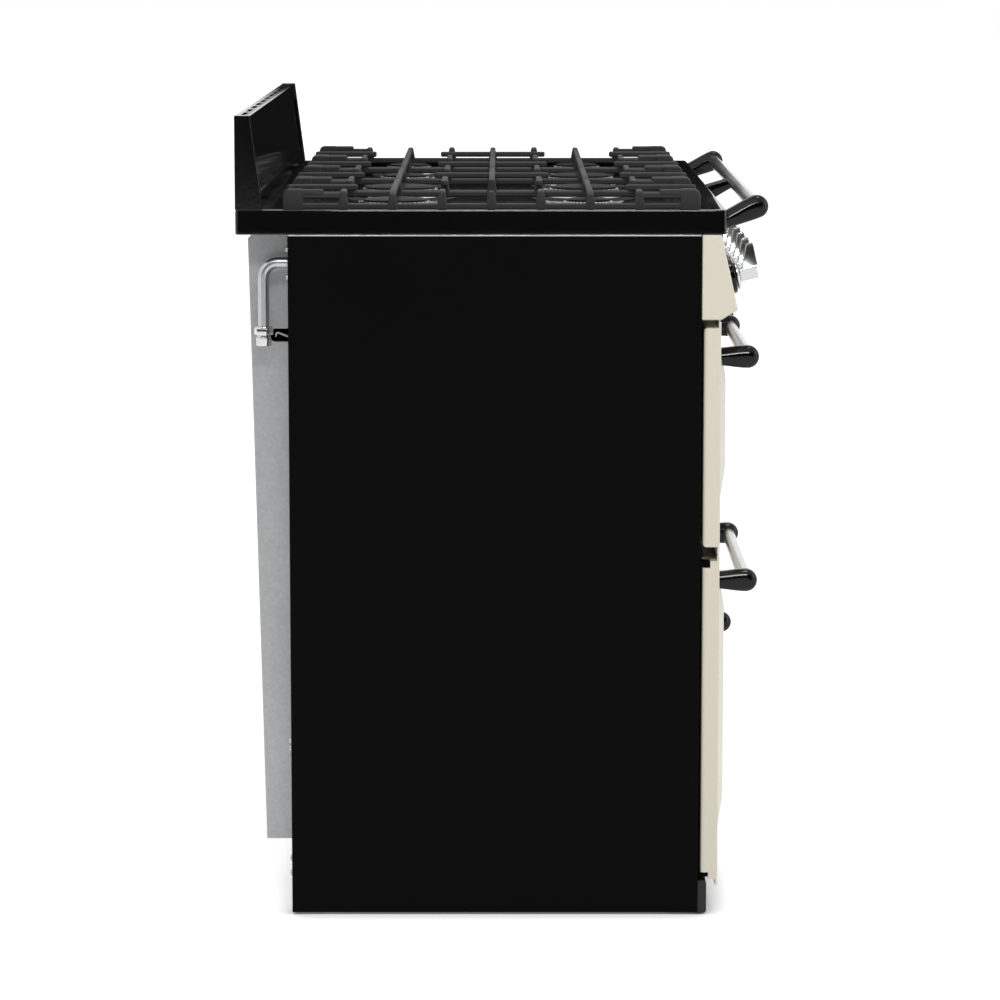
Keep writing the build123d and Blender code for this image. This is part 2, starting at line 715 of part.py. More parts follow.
def door_handle(column, rows, drop):
    """Two posts seated on the door face and the bar between them."""
    middle = (column[0] + column[1]) / 2
    tip = (bar_line, rows[1] - drop)
    socket = handle_length - post_width + 2 * socket_depth
    with BuildPart() as posts:
        for x in (middle - handle_length / 2, middle + handle_length / 2):
            post_shape(x, (skin_front, tip[1]), tip)
        add(door_field(column, rows, skin_front, field_rise), mode=Mode.SUBTRACT)
        cross_bar(middle, tip, socket, bar_radius + socket_fit, Mode.SUBTRACT)
    with BuildPart() as bar:
        cross_bar(middle, tip, socket - 2 * socket_fit, bar_radius)
    return posts, bar


def hinge_levels(rows):
    """Seat level and pin direction of the top and the bottom hinge of a side-hung door."""
    return (rows[1] - lip - notch_body, 1), (rows[0] + lip + notch_body, -1)


def hinge_column(x, level, way, start, end, radius, mode=Mode.ADD):
    """Add or cut a round column on a pivot between two heights over its seat."""
    heights = sorted((level + way * start, level + way * end))
    with Locations((x, pivot_line, heights[0])):
        Cylinder(radius, heights[1] - heights[0], align=up, mode=mode)


def hinge_cuts(column, rows, side):
    """Cut the two hinge notches and pin bores in the open side-hung door; side is the pivot edge."""
    edge = column[0] if side < 0 else column[1]
    span = sorted((edge, edge - side * notch_width))
    for level, way in hinge_levels(rows):
        block(span, (door_back - notch_depth, door_back), sorted((level, level + way * (notch_body + lip))),
              Mode.SUBTRACT)
        hinge_column(edge - side * hinge_inset, level, way, -pin_length - slide_gap, 0, pin_radius + pin_fit,
                     Mode.SUBTRACT)


def hinge_bracket(column, rows, side):
    """Add the two brackets of a side-hung door: plate, pin and flange on the front frame."""
    pivot_x = (column[0] if side < 0 else column[1]) - side * hinge_inset
    flange_end = pivot_x - side * (hinge_flange_start + hinge_flange)
    for level, way in hinge_levels(rows):
        plate = sorted((level + way * notch_room, level + way * (notch_room + hinge_plate)))
        block(sorted((pivot_x + side * pin_radius / 2, flange_end)), (pivot_line - hinge_nose, body_front), plate)
        hinge_column(pivot_x, level, way, notch_room, notch_room + hinge_plate, hinge_nose)
        hinge_column(pivot_x, level, way, -pin_length, notch_room, pin_radius)
        foot = sorted((level + way * (notch_room + hinge_plate), level + way * (notch_room - hinge_flange_height)))
        block(sorted((pivot_x - side * hinge_flange_start, flange_end)),
              (body_front - hinge_flange_sheet, body_front), foot)


# Grill door, dropping down on two arms inside its lower edge
drop_xs = (left_column[0] + drop_inset, left_column[1] - drop_inset)
drop_tip = (drop_line, drop_level)
grill_pan_body = door_pan(left_column, grill_rows)
with BuildPart() as grill_door:
    add(grill_pan_body.part)
    for x in drop_xs:
        arm_room = drop_arm / 2 + drop_room
        slot_half = drop_arm_width / 2 + drop_room
        block((x - slot_half, x + slot_half), (drop_line - arm_room, door_back),
              (grill_rows[0], drop_level + arm_room), Mode.SUBTRACT)
        cross_bar(x, drop_tip, drop_pin_length + 2 * slide_gap, drop_pin + pin_fit, Mode.SUBTRACT)
save(grill_door, "grill_door")

# Left oven door, hung on its left edge
left_pan_body = door_pan(left_column, left_rows)
with BuildPart() as left_oven_door:
    add(left_pan_body.part)
    hinge_cuts(left_column, left_rows, -1)
save(left_oven_door, "left_oven_door")

# Right oven door, hung on its right edge
right_pan_body = door_pan(right_column, right_rows)
with BuildPart() as right_oven_door:
    add(right_pan_body.part)
    hinge_cuts(right_column, right_rows, 1)
save(right_oven_door, "right_oven_door")

# Storage drawer front
drawer_front = door_pan(right_column, drawer_rows)
save(drawer_front, "drawer_front")

# Inner panels and handles of the doors and the drawer
save(door_inner(left_column, grill_rows), "grill_door_inner")
save(door_inner(left_column, left_rows), "left_oven_door_inner")
save(door_inner(right_column, right_rows), "right_oven_door_inner")
for name, column, rows, drop in (("grill", left_column, grill_rows, handle_drop_high),
                                 ("left_oven", left_column, left_rows, handle_drop_low),
                                 ("right_oven", right_column, right_rows, handle_drop_high),
                                 ("drawer", right_column, drawer_rows, handle_drop_low)):
    posts, bar = door_handle(column, rows, drop)
    save(posts, name + "_handle_posts")
    save(bar, name + "_handle_bar")

# Hinge brackets on the front frame, with their pins
with BuildPart() as hinge_brackets:
    hinge_bracket(left_column, left_rows, -1)
    hinge_bracket(right_column, right_rows, 1)
    for x in drop_xs:
        arm = (x - drop_arm_width / 2, x + drop_arm_width / 2)
        block(arm, (drop_line, body_front), (drop_level - drop_arm / 2, drop_level + drop_arm / 2))
        cross_bar(x, drop_tip, drop_arm_width, drop_arm / 2)
        cross_bar(x, drop_tip, drop_pin_length, drop_pin)
save(hinge_brackets, "hinge_brackets")


def cavity_liner(opening, rib_levels):
    """Open-fronted enamelled box behind a frame opening, with shelf ledges on its side walls."""
    xs, zs = opening
    with BuildPart() as liner:
        block(inset(xs, -liner_sheet), (frame_back, cavity_back + liner_sheet), inset(zs, -liner_sheet))
        block(xs, (frame_back, cavity_back), zs, Mode.SUBTRACT)
        for level in rib_levels:
            for ledge in ((xs[0], xs[0] + rib), (xs[1] - rib, xs[1])):
                block(ledge, (frame_back, cavity_back), (level - rib_height, level))
    return liner


def ledge_level(opening, share):
    """Height of a shelf ledge, as a share of the cavity height."""
    return opening[1][0] + share * (opening[1][1] - opening[1][0])


# Cavity liners, each with its shelf ledges
save(cavity_liner(grill_opening, [ledge_level(grill_opening, grill_ledge)]), "grill_liner")
for name, opening in (("left_oven", left_opening), ("right_oven", right_opening)):
    save(cavity_liner(opening, [ledge_level(opening, share) for share in oven_ledges]), name + "_liner")

# Rope seals on the front frame round the three cavities
with BuildPart() as door_seals:
    for opening in (grill_opening, left_opening, right_opening):
        seal_ys = (door_back + seal_gap, body_front)
        outer = -seal_offset - seal_width
        block(inset(opening[0], outer), seal_ys, inset(opening[1], outer))
        block(inset(opening[0], -seal_offset), seal_ys, inset(opening[1], -seal_offset), Mode.SUBTRACT)
save(door_seals, "door_seals")

# Wire shelves on the upper ledges of the ovens
shelf_depth = cavity_back - frame_back - 2 * shelf_margin
shelf_y = (cavity_back + frame_back) / 2
with BuildPart() as oven_shelves:
    for opening in (left_opening, right_opening):
        across = opening[0][1] - opening[0][0] - 2 * shelf_gap
        middle = ((opening[0][0] + opening[0][1]) / 2, shelf_y)
        with BuildSketch(Plane.XY.offset(ledge_level(opening, oven_ledges[-1]))):
            with Locations(middle):
                Rectangle(across, shelf_depth)
                Rectangle(across - 2 * shelf_bar, shelf_depth - 2 * shelf_bar, mode=Mode.SUBTRACT)
                with GridLocations(across / (shelf_wires + 1), 0, shelf_wires, 1):
                    Rectangle(shelf_bar, shelf_depth)
                Rectangle(across, shelf_bar)
    extrude(amount=shelf_bar)
save(oven_shelves, "oven_shelves")

# Grill pan, hung by its rim on the grill ledges
with BuildPart() as grill_pan:
    pan_level = ledge_level(grill_opening, grill_ledge)
    pan_ys = (frame_back + shelf_margin, cavity_back - shelf_margin)
    pan_xs_in = inset(grill_opening[0], rib + shelf_gap)
    block(inset(grill_opening[0], shelf_gap), pan_ys, (pan_level, pan_level + sheet))
    block(pan_xs_in, pan_ys, (pan_level - pan_depth, pan_level + sheet))
    block(inset(pan_xs_in, pan_sheet), inset(pan_ys, pan_sheet),
          (pan_level - pan_depth + pan_sheet, pan_level + sheet), Mode.SUBTRACT)
save(grill_pan, "grill_pan")

# Oven burner tubes on their stands, and the grill burner under the grill roof
with BuildPart() as oven_burners:
    for opening in (left_opening, right_opening):
        middle = (opening[0][0] + opening[0][1]) / 2
        reach = (opening[0][1] - opening[0][0]) / 2 - burner_tube_side
        tube_y = cavity_back - burner_tube_back
        tube_z = opening[1][0] + burner_stand + burner_tube
        cross_bar(middle, (tube_y, tube_z), 2 * reach, burner_tube)
        for x in (middle - reach / 2, middle + reach / 2):
            block((x - burner_tube, x + burner_tube), (tube_y - sheet, tube_y + sheet), (opening[1][0], tube_z))
    grill_middle = (grill_opening[0][0] + grill_opening[0][1]) / 2
    block((grill_middle - grill_burner[0] / 2, grill_middle + grill_burner[0] / 2),
          (shelf_y - grill_burner[1] / 2, shelf_y + grill_burner[1] / 2),
          (grill_opening[1][1] - grill_burner[2], grill_opening[1][1]))
save(oven_burners, "oven_burners")

# Drawer box behind its front, and the two runners that carry it
drawer_xs = inset(right_column, drawer_side_gap)
drawer_ys = (door_back, body_back - drawer_rear_room)
with BuildPart() as drawer_box:
    block(drawer_xs, drawer_ys, (drawer_floor, drawer_floor + drawer_height))
    block(inset(drawer_xs, sheet), inset(drawer_ys, sheet), (drawer_floor + sheet, drawer_floor + drawer_height),
          Mode.SUBTRACT)
save(drawer_box, "drawer_box")

with BuildPart() as drawer_runners:
    ledge_top = drawer_floor - slide_gap
    for side, wall, edge in ((1, sheet / 2, drawer_xs[0]), (-1, inner_half, drawer_xs[1])):
        guide = edge - side * slide_gap
        block(sorted((wall, edge + side * runner_ledge)), (frame_back, drawer_ys[1]),
              (ledge_top - runner_sheet, ledge_top))
        block(sorted((guide, guide - side * runner_sheet)), (frame_back, drawer_ys[1]),
              (ledge_top - runner_sheet, ledge_top + runner_guide))
save(drawer_runners, "drawer_runners")

# Screws down the rear returns of the side panels
screw_levels = screw_lows + tuple(panel_top - drop for drop in screw_highs)
with BuildPart() as panel_screws:
    for x in (-half + panel_return / 2, half - panel_return / 2):
        for level in screw_levels:
            with Locations(Plane.XZ.offset(-body_back - screw_head) * Location((x, level, 0))):
                Cylinder(screw_radius, screw_head, align=up)
save(panel_screws, "panel_screws")
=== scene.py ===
"""Photoreal dress of the wide gas range cooker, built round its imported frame."""
import logging
import math
from dataclasses import dataclass, field
from enum import Enum, IntEnum
from typing import ClassVar, Optional, Sequence

import bmesh
import bpy
from mathutils import Matrix, Vector


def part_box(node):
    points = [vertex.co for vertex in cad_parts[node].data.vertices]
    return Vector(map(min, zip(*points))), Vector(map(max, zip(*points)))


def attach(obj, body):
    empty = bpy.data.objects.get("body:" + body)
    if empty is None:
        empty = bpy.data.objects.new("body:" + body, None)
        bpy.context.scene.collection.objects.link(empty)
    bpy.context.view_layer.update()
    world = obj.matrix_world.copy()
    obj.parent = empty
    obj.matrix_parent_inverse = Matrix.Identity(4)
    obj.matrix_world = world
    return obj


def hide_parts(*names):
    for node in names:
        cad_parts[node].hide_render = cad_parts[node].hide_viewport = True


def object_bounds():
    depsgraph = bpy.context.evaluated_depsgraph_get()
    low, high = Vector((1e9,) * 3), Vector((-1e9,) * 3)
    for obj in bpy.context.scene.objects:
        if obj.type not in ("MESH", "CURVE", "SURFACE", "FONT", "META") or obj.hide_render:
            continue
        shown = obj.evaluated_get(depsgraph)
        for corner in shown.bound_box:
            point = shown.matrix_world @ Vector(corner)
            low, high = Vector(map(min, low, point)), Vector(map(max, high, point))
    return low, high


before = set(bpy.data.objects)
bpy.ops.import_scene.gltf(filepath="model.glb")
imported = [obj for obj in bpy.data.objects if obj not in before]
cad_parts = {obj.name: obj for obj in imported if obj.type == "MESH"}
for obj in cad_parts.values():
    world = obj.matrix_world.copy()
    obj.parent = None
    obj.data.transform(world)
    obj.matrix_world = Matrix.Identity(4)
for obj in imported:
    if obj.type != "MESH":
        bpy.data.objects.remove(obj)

LOG = logging.getLogger("range_cooker")
CAD_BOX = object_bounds()
NODES: dict[str, bpy.types.Object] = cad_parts
BODY = "carcass"
MM = 0.001
KNOBS = range(1, 12)
SUPPORTS = range(1, 5)

# Socket numbers of a colour mix, whose names repeat
MIX_SHARE, MIX_FIRST, MIX_SECOND, MIX_RESULT = 0, 6, 7, 2
WHITE = (1.0, 1.0, 1.0, 1.0)

Span = tuple[float, float]
Point = tuple[float, float, float]
Profile = tuple[Span, ...]
Tree = bpy.types.NodeTree
Socket = bpy.types.NodeSocket


class Round(IntEnum):
    """How many flats make up a turned shape."""

    HEXAGON = 6
    PIN = 20
    SMALL = 24
    UNION = 40
    PLAIN = 48
    LARGE = 64


def linear(hex_colour: str) -> tuple[float, float, float, float]:
    """Turn an sRGB hex colour into linear RGBA.

    Args:
        hex_colour: Six hex digits.

    Returns:
        Linear red, green, blue and an alpha of 1.
    """
    values = []
    for start in (0, 2, 4):
        part = int(hex_colour[start:start + 2], 16) / 255
        values.append(part / 12.92 if part <= 0.04045 else ((part + 0.055) / 1.055) ** 2.4)
    return values[0], values[1], values[2], 1.0


def add_node(tree: Tree, kind: str, settings: Optional[dict] = None,
             links: Optional[dict] = None) -> bpy.types.Node:
    """Add a shader node with its settings and incoming links.

    Args:
        tree: The node tree to add to.
        kind: The node type, without its first word.
        settings: Attribute names, or input socket names or numbers, with their values.
        links: Input socket names or numbers with the output sockets that feed them.

    Returns:
        The new node.
    """
    made = tree.nodes.new("ShaderNode" + kind)
    for key, value in (settings or {}).items():
        if isinstance(key, str) and hasattr(made, key):
            setattr(made, key, value)
        else:
            made.inputs[key].default_value = value
    for key, source in (links or {}).items():
        tree.links.new(source, made.inputs[key])
    return made


def blank_material(name: str) -> bpy.types.Material:
    """Return a new node material with nothing in its tree."""
    made = bpy.data.materials.new(name)
    made.use_nodes = True
    made.node_tree.nodes.clear()
    return made


class Pattern(Enum):
    """The fine pattern that a process leaves on a surface."""

    PEEL = "flow of a fired or sprayed coat"
    GRAIN = "grain of a cast or dusted skin"
    SPANGLE = "zinc crystals"
    DRAWN = "lines along X"
    ROPE = "braided rope"
    SPECKLE = "pale flecks"


@dataclass(frozen=True)
class Finish:
    """One real material and the process that made its surface."""

    CLOUD: ClassVar[dict[str, float]] = {"Scale": 4.0, "Detail": 3.0}
    CLOUD_SPAN: ClassVar[Span] = (0.3, 0.7)
    RELIEF_SHARE: ClassVar[float] = 0.1
    FLECK_SPAN: ClassVar[Span] = (0.1, 0.22)
    WAVES_IN_CELL: ClassVar[float] = 6.0
    EVEN: ClassVar[Point] = (1.0, 1.0, 1.0)
    DRAWN_OUT: ClassVar[Point] = (0.02, 1.0, 1.0)
    SANDY_DETAIL: ClassVar[float] = 6.0
    SMOOTH_DETAIL: ClassVar[float] = 2.0

    name: str
    colour: str
    shade: str
    pattern: Pattern
    grain_mm: float
    bump: float
    roughness: float
    spread: float = 0.05
    metallic: float = 0.0
    specular: float = 0.5
    ior: float = 1.5

    def material(self) -> bpy.types.Material:
        """Return the finish as a node material, made once."""
        known = bpy.data.materials.get(self.name)
        if known:
            return known
        made = blank_material(self.name)
        tree = made.node_tree
        value = self.texture(tree)
        cloud = add_node(tree, "TexNoise", self.CLOUD, {"Vector": self.place(tree)})
        gloss = add_node(tree, "MapRange",
                         {"From Min": self.CLOUD_SPAN[0], "From Max": self.CLOUD_SPAN[1],
                          "To Min": self.roughness - self.spread, "To Max": self.roughness + self.spread},
                         {"Value": cloud.outputs[0]})
        tint = add_node(tree, "Mix",
                        {"data_type": "RGBA", MIX_FIRST: linear(self.shade), MIX_SECOND: linear(self.colour)},
                        {MIX_SHARE: value})
        relief = add_node(tree, "Bump",
                          {"Strength": self.bump, "Distance": self.grain_mm * MM * self.RELIEF_SHARE},
                          {"Height": value})
        shader = add_node(tree, "BsdfPrincipled",
                          {"Metallic": self.metallic, "Specular IOR Level": self.specular, "IOR": self.ior},
                          {"Base Color": tint.outputs[MIX_RESULT], "Roughness": gloss.outputs[0],
                           "Normal": relief.outputs[0]})
        add_node(tree, "OutputMaterial", None, {"Surface": shader.outputs[0]})
        return made

    def place(self, tree: Tree, stretch: Point = EVEN) -> Socket:
        """Return object coordinates in metres, stretched."""
        coords = add_node(tree, "TexCoord")
        mapped = add_node(tree, "Mapping", {"Scale": stretch}, {"Vector": coords.outputs["Object"]})
        return mapped.outputs[0]

    def texture(self, tree: Tree) -> Socket:
        """Return the socket with the pattern's value, from 0 to 1, at its real scale."""
        per_metre = 1 / (self.grain_mm * MM)
        if self.pattern in (Pattern.SPANGLE, Pattern.SPECKLE):
            cells = add_node(tree, "TexVoronoi", {"Scale": per_metre}, {"Vector": self.place(tree)})
            if self.pattern is Pattern.SPANGLE:
                grey = add_node(tree, "RGBToBW", None, {"Color": cells.outputs["Color"]})
                return grey.outputs[0]
            flecks = add_node(tree, "MapRange",
                              {"From Min": self.FLECK_SPAN[0], "From Max": self.FLECK_SPAN[1],
                               "To Min": 1.0, "To Max": 0.0},
                              {"Value": cells.outputs["Distance"]})
            return flecks.outputs[0]
        if self.pattern is Pattern.ROPE:
            wave = add_node(tree, "TexWave",
                            {"Scale": per_metre / self.WAVES_IN_CELL, "bands_direction": "DIAGONAL"},
                            {"Vector": self.place(tree)})
            return wave.outputs["Fac"]
        stretch = self.DRAWN_OUT if self.pattern is Pattern.DRAWN else self.EVEN
        detail = self.SANDY_DETAIL if self.pattern is Pattern.GRAIN else self.SMOOTH_DETAIL
        noise = add_node(tree, "TexNoise", {"Scale": per_metre, "Detail": detail},
                         {"Vector": self.place(tree, stretch)})
        return noise.outputs[0]


# Each row: name, colour, shade, pattern, grain in mm, bump, roughness, how far it varies
# Vitreous enamel fired on pressed steel: a glassy cream with a slow waviness in what it mirrors
CREAM_ENAMEL = Finish("cream vitreous enamel", "DDD7C7", "DAD3C3", Pattern.PEEL, 9.0, 0.05, 0.26, 0.03,
                      specular=0.25, ior=1.52)
# The same glass in black: near black, with crisp bright lines along its rounded edges
BLACK_ENAMEL = Finish("black vitreous enamel", "0D0D0D", "0A0A0A", Pattern.PEEL, 7.0, 0.05, 0.08, 0.02,
                      specular=0.4, ior=1.52)
# Ground coat enamel: dark grey glass with pale flecks, drawn at twice their size so that they show
CAVITY_ENAMEL = Finish("speckled cavity enamel", "6A6C70", "1C1D20", Pattern.SPECKLE, 5.0, 0.05, 0.28,
                       ior=1.52)
# Satin stove paint, sprayed and baked on sheet: nearly black, with a fine dusty grain
STOVE_PAINT = Finish("black stove paint", "050505", "040404", Pattern.GRAIN, 1.2, 0.12, 0.45, 0.08,
                     specular=0.05)
# The same paint in dark grey, which lets the folds of the sheet show
GREY_PAINT = Finish("grey stove paint", "272727", "202020", Pattern.GRAIN, 1.2, 0.12, 0.45, 0.08,
                    specular=0.3)
# Hot dipped zinc on sheet: flat crystals of slightly different greys under a dull shine
GALVANISED = Finish("galvanised sheet", "B8B9BA", "ACADAE", Pattern.SPANGLE, 4.0, 0.05, 0.45, 0.06,
                    metallic=0.6)
# Electroplated zinc on steel: an even cool grey with a soft streak of light
ZINC_PLATE = Finish("zinc plated steel", "C4C5C6", "B0B1B2", Pattern.GRAIN, 2.0, 0.06, 0.3, metallic=1.0)
# Nickel on turned brass: bright, slightly warm, with small soft glints
NICKEL = Finish("nickel plated brass", "D6D5D2", "C6C5C2", Pattern.GRAIN, 2.0, 0.05, 0.22, metallic=1.0)
# Enamelled grey iron: matt and dark, with a sandy skin from the mould
CAST_IRON = Finish("matt enamelled cast iron", "2F2F30", "252526", Pattern.GRAIN, 1.4, 0.3, 0.58, 0.08,
                   specular=0.4)
# Aluminium out of a steel die, tumbled: pale grey, with a lively broken shine
DIE_CAST = Finish("die cast aluminium", "D0D1D2", "A6A7A8", Pattern.GRAIN, 1.5, 0.12, 0.26, 0.08,
                  metallic=1.0)
# Brass off the lathe: yellow, with fine turning lines
BRASS = Finish("turned brass", "B8924A", "A8813C", Pattern.DRAWN, 0.8, 0.08, 0.3, metallic=1.0)
# Bright chrome on a polished casting: a clear mirror
CHROME = Finish("polished chrome plate", "D2D3D4", "C9CACB", Pattern.DRAWN, 1.5, 0.02, 0.18, 0.03,
                metallic=1.0)
# Chrome on brushed tube: soft bands of light along its length
SATIN_CHROME = Finish("brushed chrome plate", "DADBDC", "C8C9CA", Pattern.DRAWN, 1.5, 0.03, 0.2, 0.03,
                      metallic=1.0)
# Thermoset moulding: deep black with a wet gloss and hard white lights
PHENOLIC = Finish("black phenolic moulding", "050506", "040405", Pattern.PEEL, 5.0, 0.02, 0.1, 0.03,
                  specular=0.2, ior=1.6)
# Brushed stainless sheet: grey, streaked along X
STAINLESS = Finish("brushed stainless sheet", "B3B4B5", "A4A5A6", Pattern.DRAWN, 0.9, 0.1, 0.3, 0.06,
                   metallic=1.0)
# Braided glass fibre: dull charcoal with slanting strands
SEAL_ROPE = Finish("glass fibre rope", "2A2A2A", "161616", Pattern.ROPE, 3.0, 0.6, 0.85)
# Matt enamel on the burner caps: black and dry, a little dusty at a low angle
CAP_ENAMEL = Finish("matt black cap enamel", "0E0E0F", "0A0A0B", Pattern.GRAIN, 1.5, 0.1, 0.5, 0.06,
                    specular=0.06)
# Glazed alumina: warm white and shiny
CERAMIC = Finish("glazed electrode ceramic", "E9E6DF", "DDD9D0", Pattern.PEEL, 3.0, 0.05, 0.25, ior=1.6)
# Fired print: flat charcoal marks on the enamel
PRINT = Finish("fired dial print", "242322", "1E1D1C", Pattern.GRAIN, 1.0, 0.05, 0.4, ior=1.52)

NODE_FINISH: dict[Finish, tuple[str, ...]] = {
    CREAM_ENAMEL: ("grill_door", "left_oven_door", "right_oven_door", "drawer_front"),
    CAVITY_ENAMEL: ("grill_liner", "left_oven_liner", "right_oven_liner", "grill_pan"),
    STOVE_PAINT: ("hinge_brackets", "front_frame"),
    GREY_PAINT: ("plinth", "drawer_box"),
    GALVANISED: ("rear_cover", "carcass", "drawer_runners"),
    ZINC_PLATE: ("feet", "oven_burners", "gas_inlet_pipe"),
    STAINLESS: ("grill_door_inner", "left_oven_door_inner", "right_oven_door_inner"),
    DIE_CAST: ("burner_cups", "gas_manifold"),
    BRASS: ("gas_taps",),
    CHROME: ("oven_shelves",),
    SEAL_ROPE: ("door_seals",),
}


def dress_nodes() -> None:
    """Give every node that stays in sight its finish."""
    for finish, names in NODE_FINISH.items():
        for name in names:
            mesh = NODES[name].data
            mesh.materials.clear()
            mesh.materials.append(finish.material())
        LOG.info("%s on %s", finish.name, ", ".join(names))


def extent(name: str) -> tuple[Span, Span, Span]:
    """Return a node's spans along X, Y and Z, in millimetres."""
    low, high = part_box(name)
    xs, ys, zs = ((first / MM, last / MM) for first, last in zip(low, high))
    return xs, ys, zs


def ordered(first: float, second: float) -> Span:
    """Return two ends with the lower one first."""
    return min(first, second), max(first, second)


def about(middle: float, width: float) -> Span:
    """Return a span of a width about its middle."""
    return middle - width / 2, middle + width / 2


def upright(x: float, y: float, z: float = 0.0) -> Matrix:
    """Return a place with its axis up."""
    return Matrix.Translation((x, y, z))


def along_x(x: float, y: float, z: float) -> Matrix:
    """Return a place with its axis along X."""
    return Matrix.Translation((x, y, z)) @ Matrix.Rotation(math.pi / 2, 4, "Y")


def rearward(x: float, y: float, z: float) -> Matrix:
    """Return a place with its axis towards the back."""
    return Matrix.Translation((x, y, z)) @ Matrix.Rotation(-math.pi / 2, 4, "X")


class Shells:
    """Gathers closed shells, in millimetres, into the mesh of one piece."""

    SHARP_DEG = 35.0
    BEVEL_STEPS = 3

    def __init__(self) -> None:
        """Start with an empty mesh."""
        self.mesh = bmesh.new()

    def loft(self, rings: Sequence[Sequence[Sequence[float]]]) -> None:
        """Join rings of points into a closed shell with flat ends.

        Args:
            rings: Point rings in order, each with the same count.
        """
        rows = [[self.mesh.verts.new(point) for point in ring] for ring in rings]
        count = len(rows[0])
        for low, high in zip(rows, rows[1:]):
            for here in range(count):
                there = (here + 1) % count
                self.mesh.faces.new((low[here], low[there], high[there], high[here]))
        self.mesh.faces.new(list(reversed(rows[0])))
        self.mesh.faces.new(rows[-1])

    def box(self, xs: Span, ys: Span, zs: Span, flare: Span = (0.0, 0.0)) -> None:
        """Add a box whose foot may be wider than its top.

        Args:
            xs: Its span along X at the top.
            ys: Its span along Y at the top.
            zs: Its span along Z.
            flare: How much wider each side of its foot is, along X and Y.
        """
        rings = []
        for level, out_x, out_y in ((zs[0], flare[0], flare[1]), (zs[1], 0.0, 0.0)):
            low_x, high_x = xs[0] - out_x, xs[1] + out_x
            low_y, high_y = ys[0] - out_y, ys[1] + out_y
            rings.append([(low_x, low_y, level), (high_x, low_y, level), (high_x, high_y, level),
                          (low_x, high_y, level)])
        self.loft(rings)

    def prism(self, outline: Sequence[Span], xs: Span) -> None:
        """Extrude an outline in Y and Z along X."""
        self.loft([[(x, y, z) for y, z in outline] for x in xs])

    def lathe(self, profile: Sequence[Span], place: Matrix, count: Round = Round.PLAIN) -> None:
        """Turn a profile about the Z axis of a place.

        Args:
            profile: Radius and height of each ring.
            place: Where the axis stands.
            count: How many flats each ring has.
        """
        rings = []
        for radius, height in profile:
            ring = []
            for step in range(count):
                turn = 2 * math.pi * step / count
                ring.append(place @ Vector((radius * math.cos(turn), radius * math.sin(turn), height)))
            rings.append(ring)
        self.loft(rings)

    def piece(self, name: str, finish: Finish, body: str, slot: str, hides: Sequence[str] = (),
              bevel: float = 0.0) -> None:
        """Finish the mesh as one object that rides on a body.

        Args:
            name: The name of the new object.
            finish: The finish of its surface.
            body: The body that it moves with.
            slot: The material slot in the table; not used.
            hides: The nodes whose place it takes.
            bevel: The radius of its edges, in millimetres.
        """
        bmesh.ops.recalc_face_normals(self.mesh, faces=self.mesh.faces)
        bmesh.ops.scale(self.mesh, vec=(MM, MM, MM), verts=self.mesh.verts)
        data = bpy.data.meshes.new(name)
        self.mesh.to_mesh(data)
        self.mesh.free()
        data.materials.append(finish.material())
        data.shade_smooth()
        data.set_sharp_from_angle(angle=math.radians(self.SHARP_DEG))
        made = bpy.data.objects.new(name, data)
        bpy.context.scene.collection.objects.link(made)
        if bevel:
            rounder = made.modifiers.new("edges", "BEVEL")
            rounder.width = bevel * MM
            rounder.segments = self.BEVEL_STEPS
            rounder.limit_method = "ANGLE"
            rounder.angle_limit = math.radians(self.SHARP_DEG)
            rounder.harden_normals = True
        if hides:
            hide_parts(*hides)
        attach(made, body)
        LOG.info("%s rides on %s, %d faces", name, body, len(data.polygons))


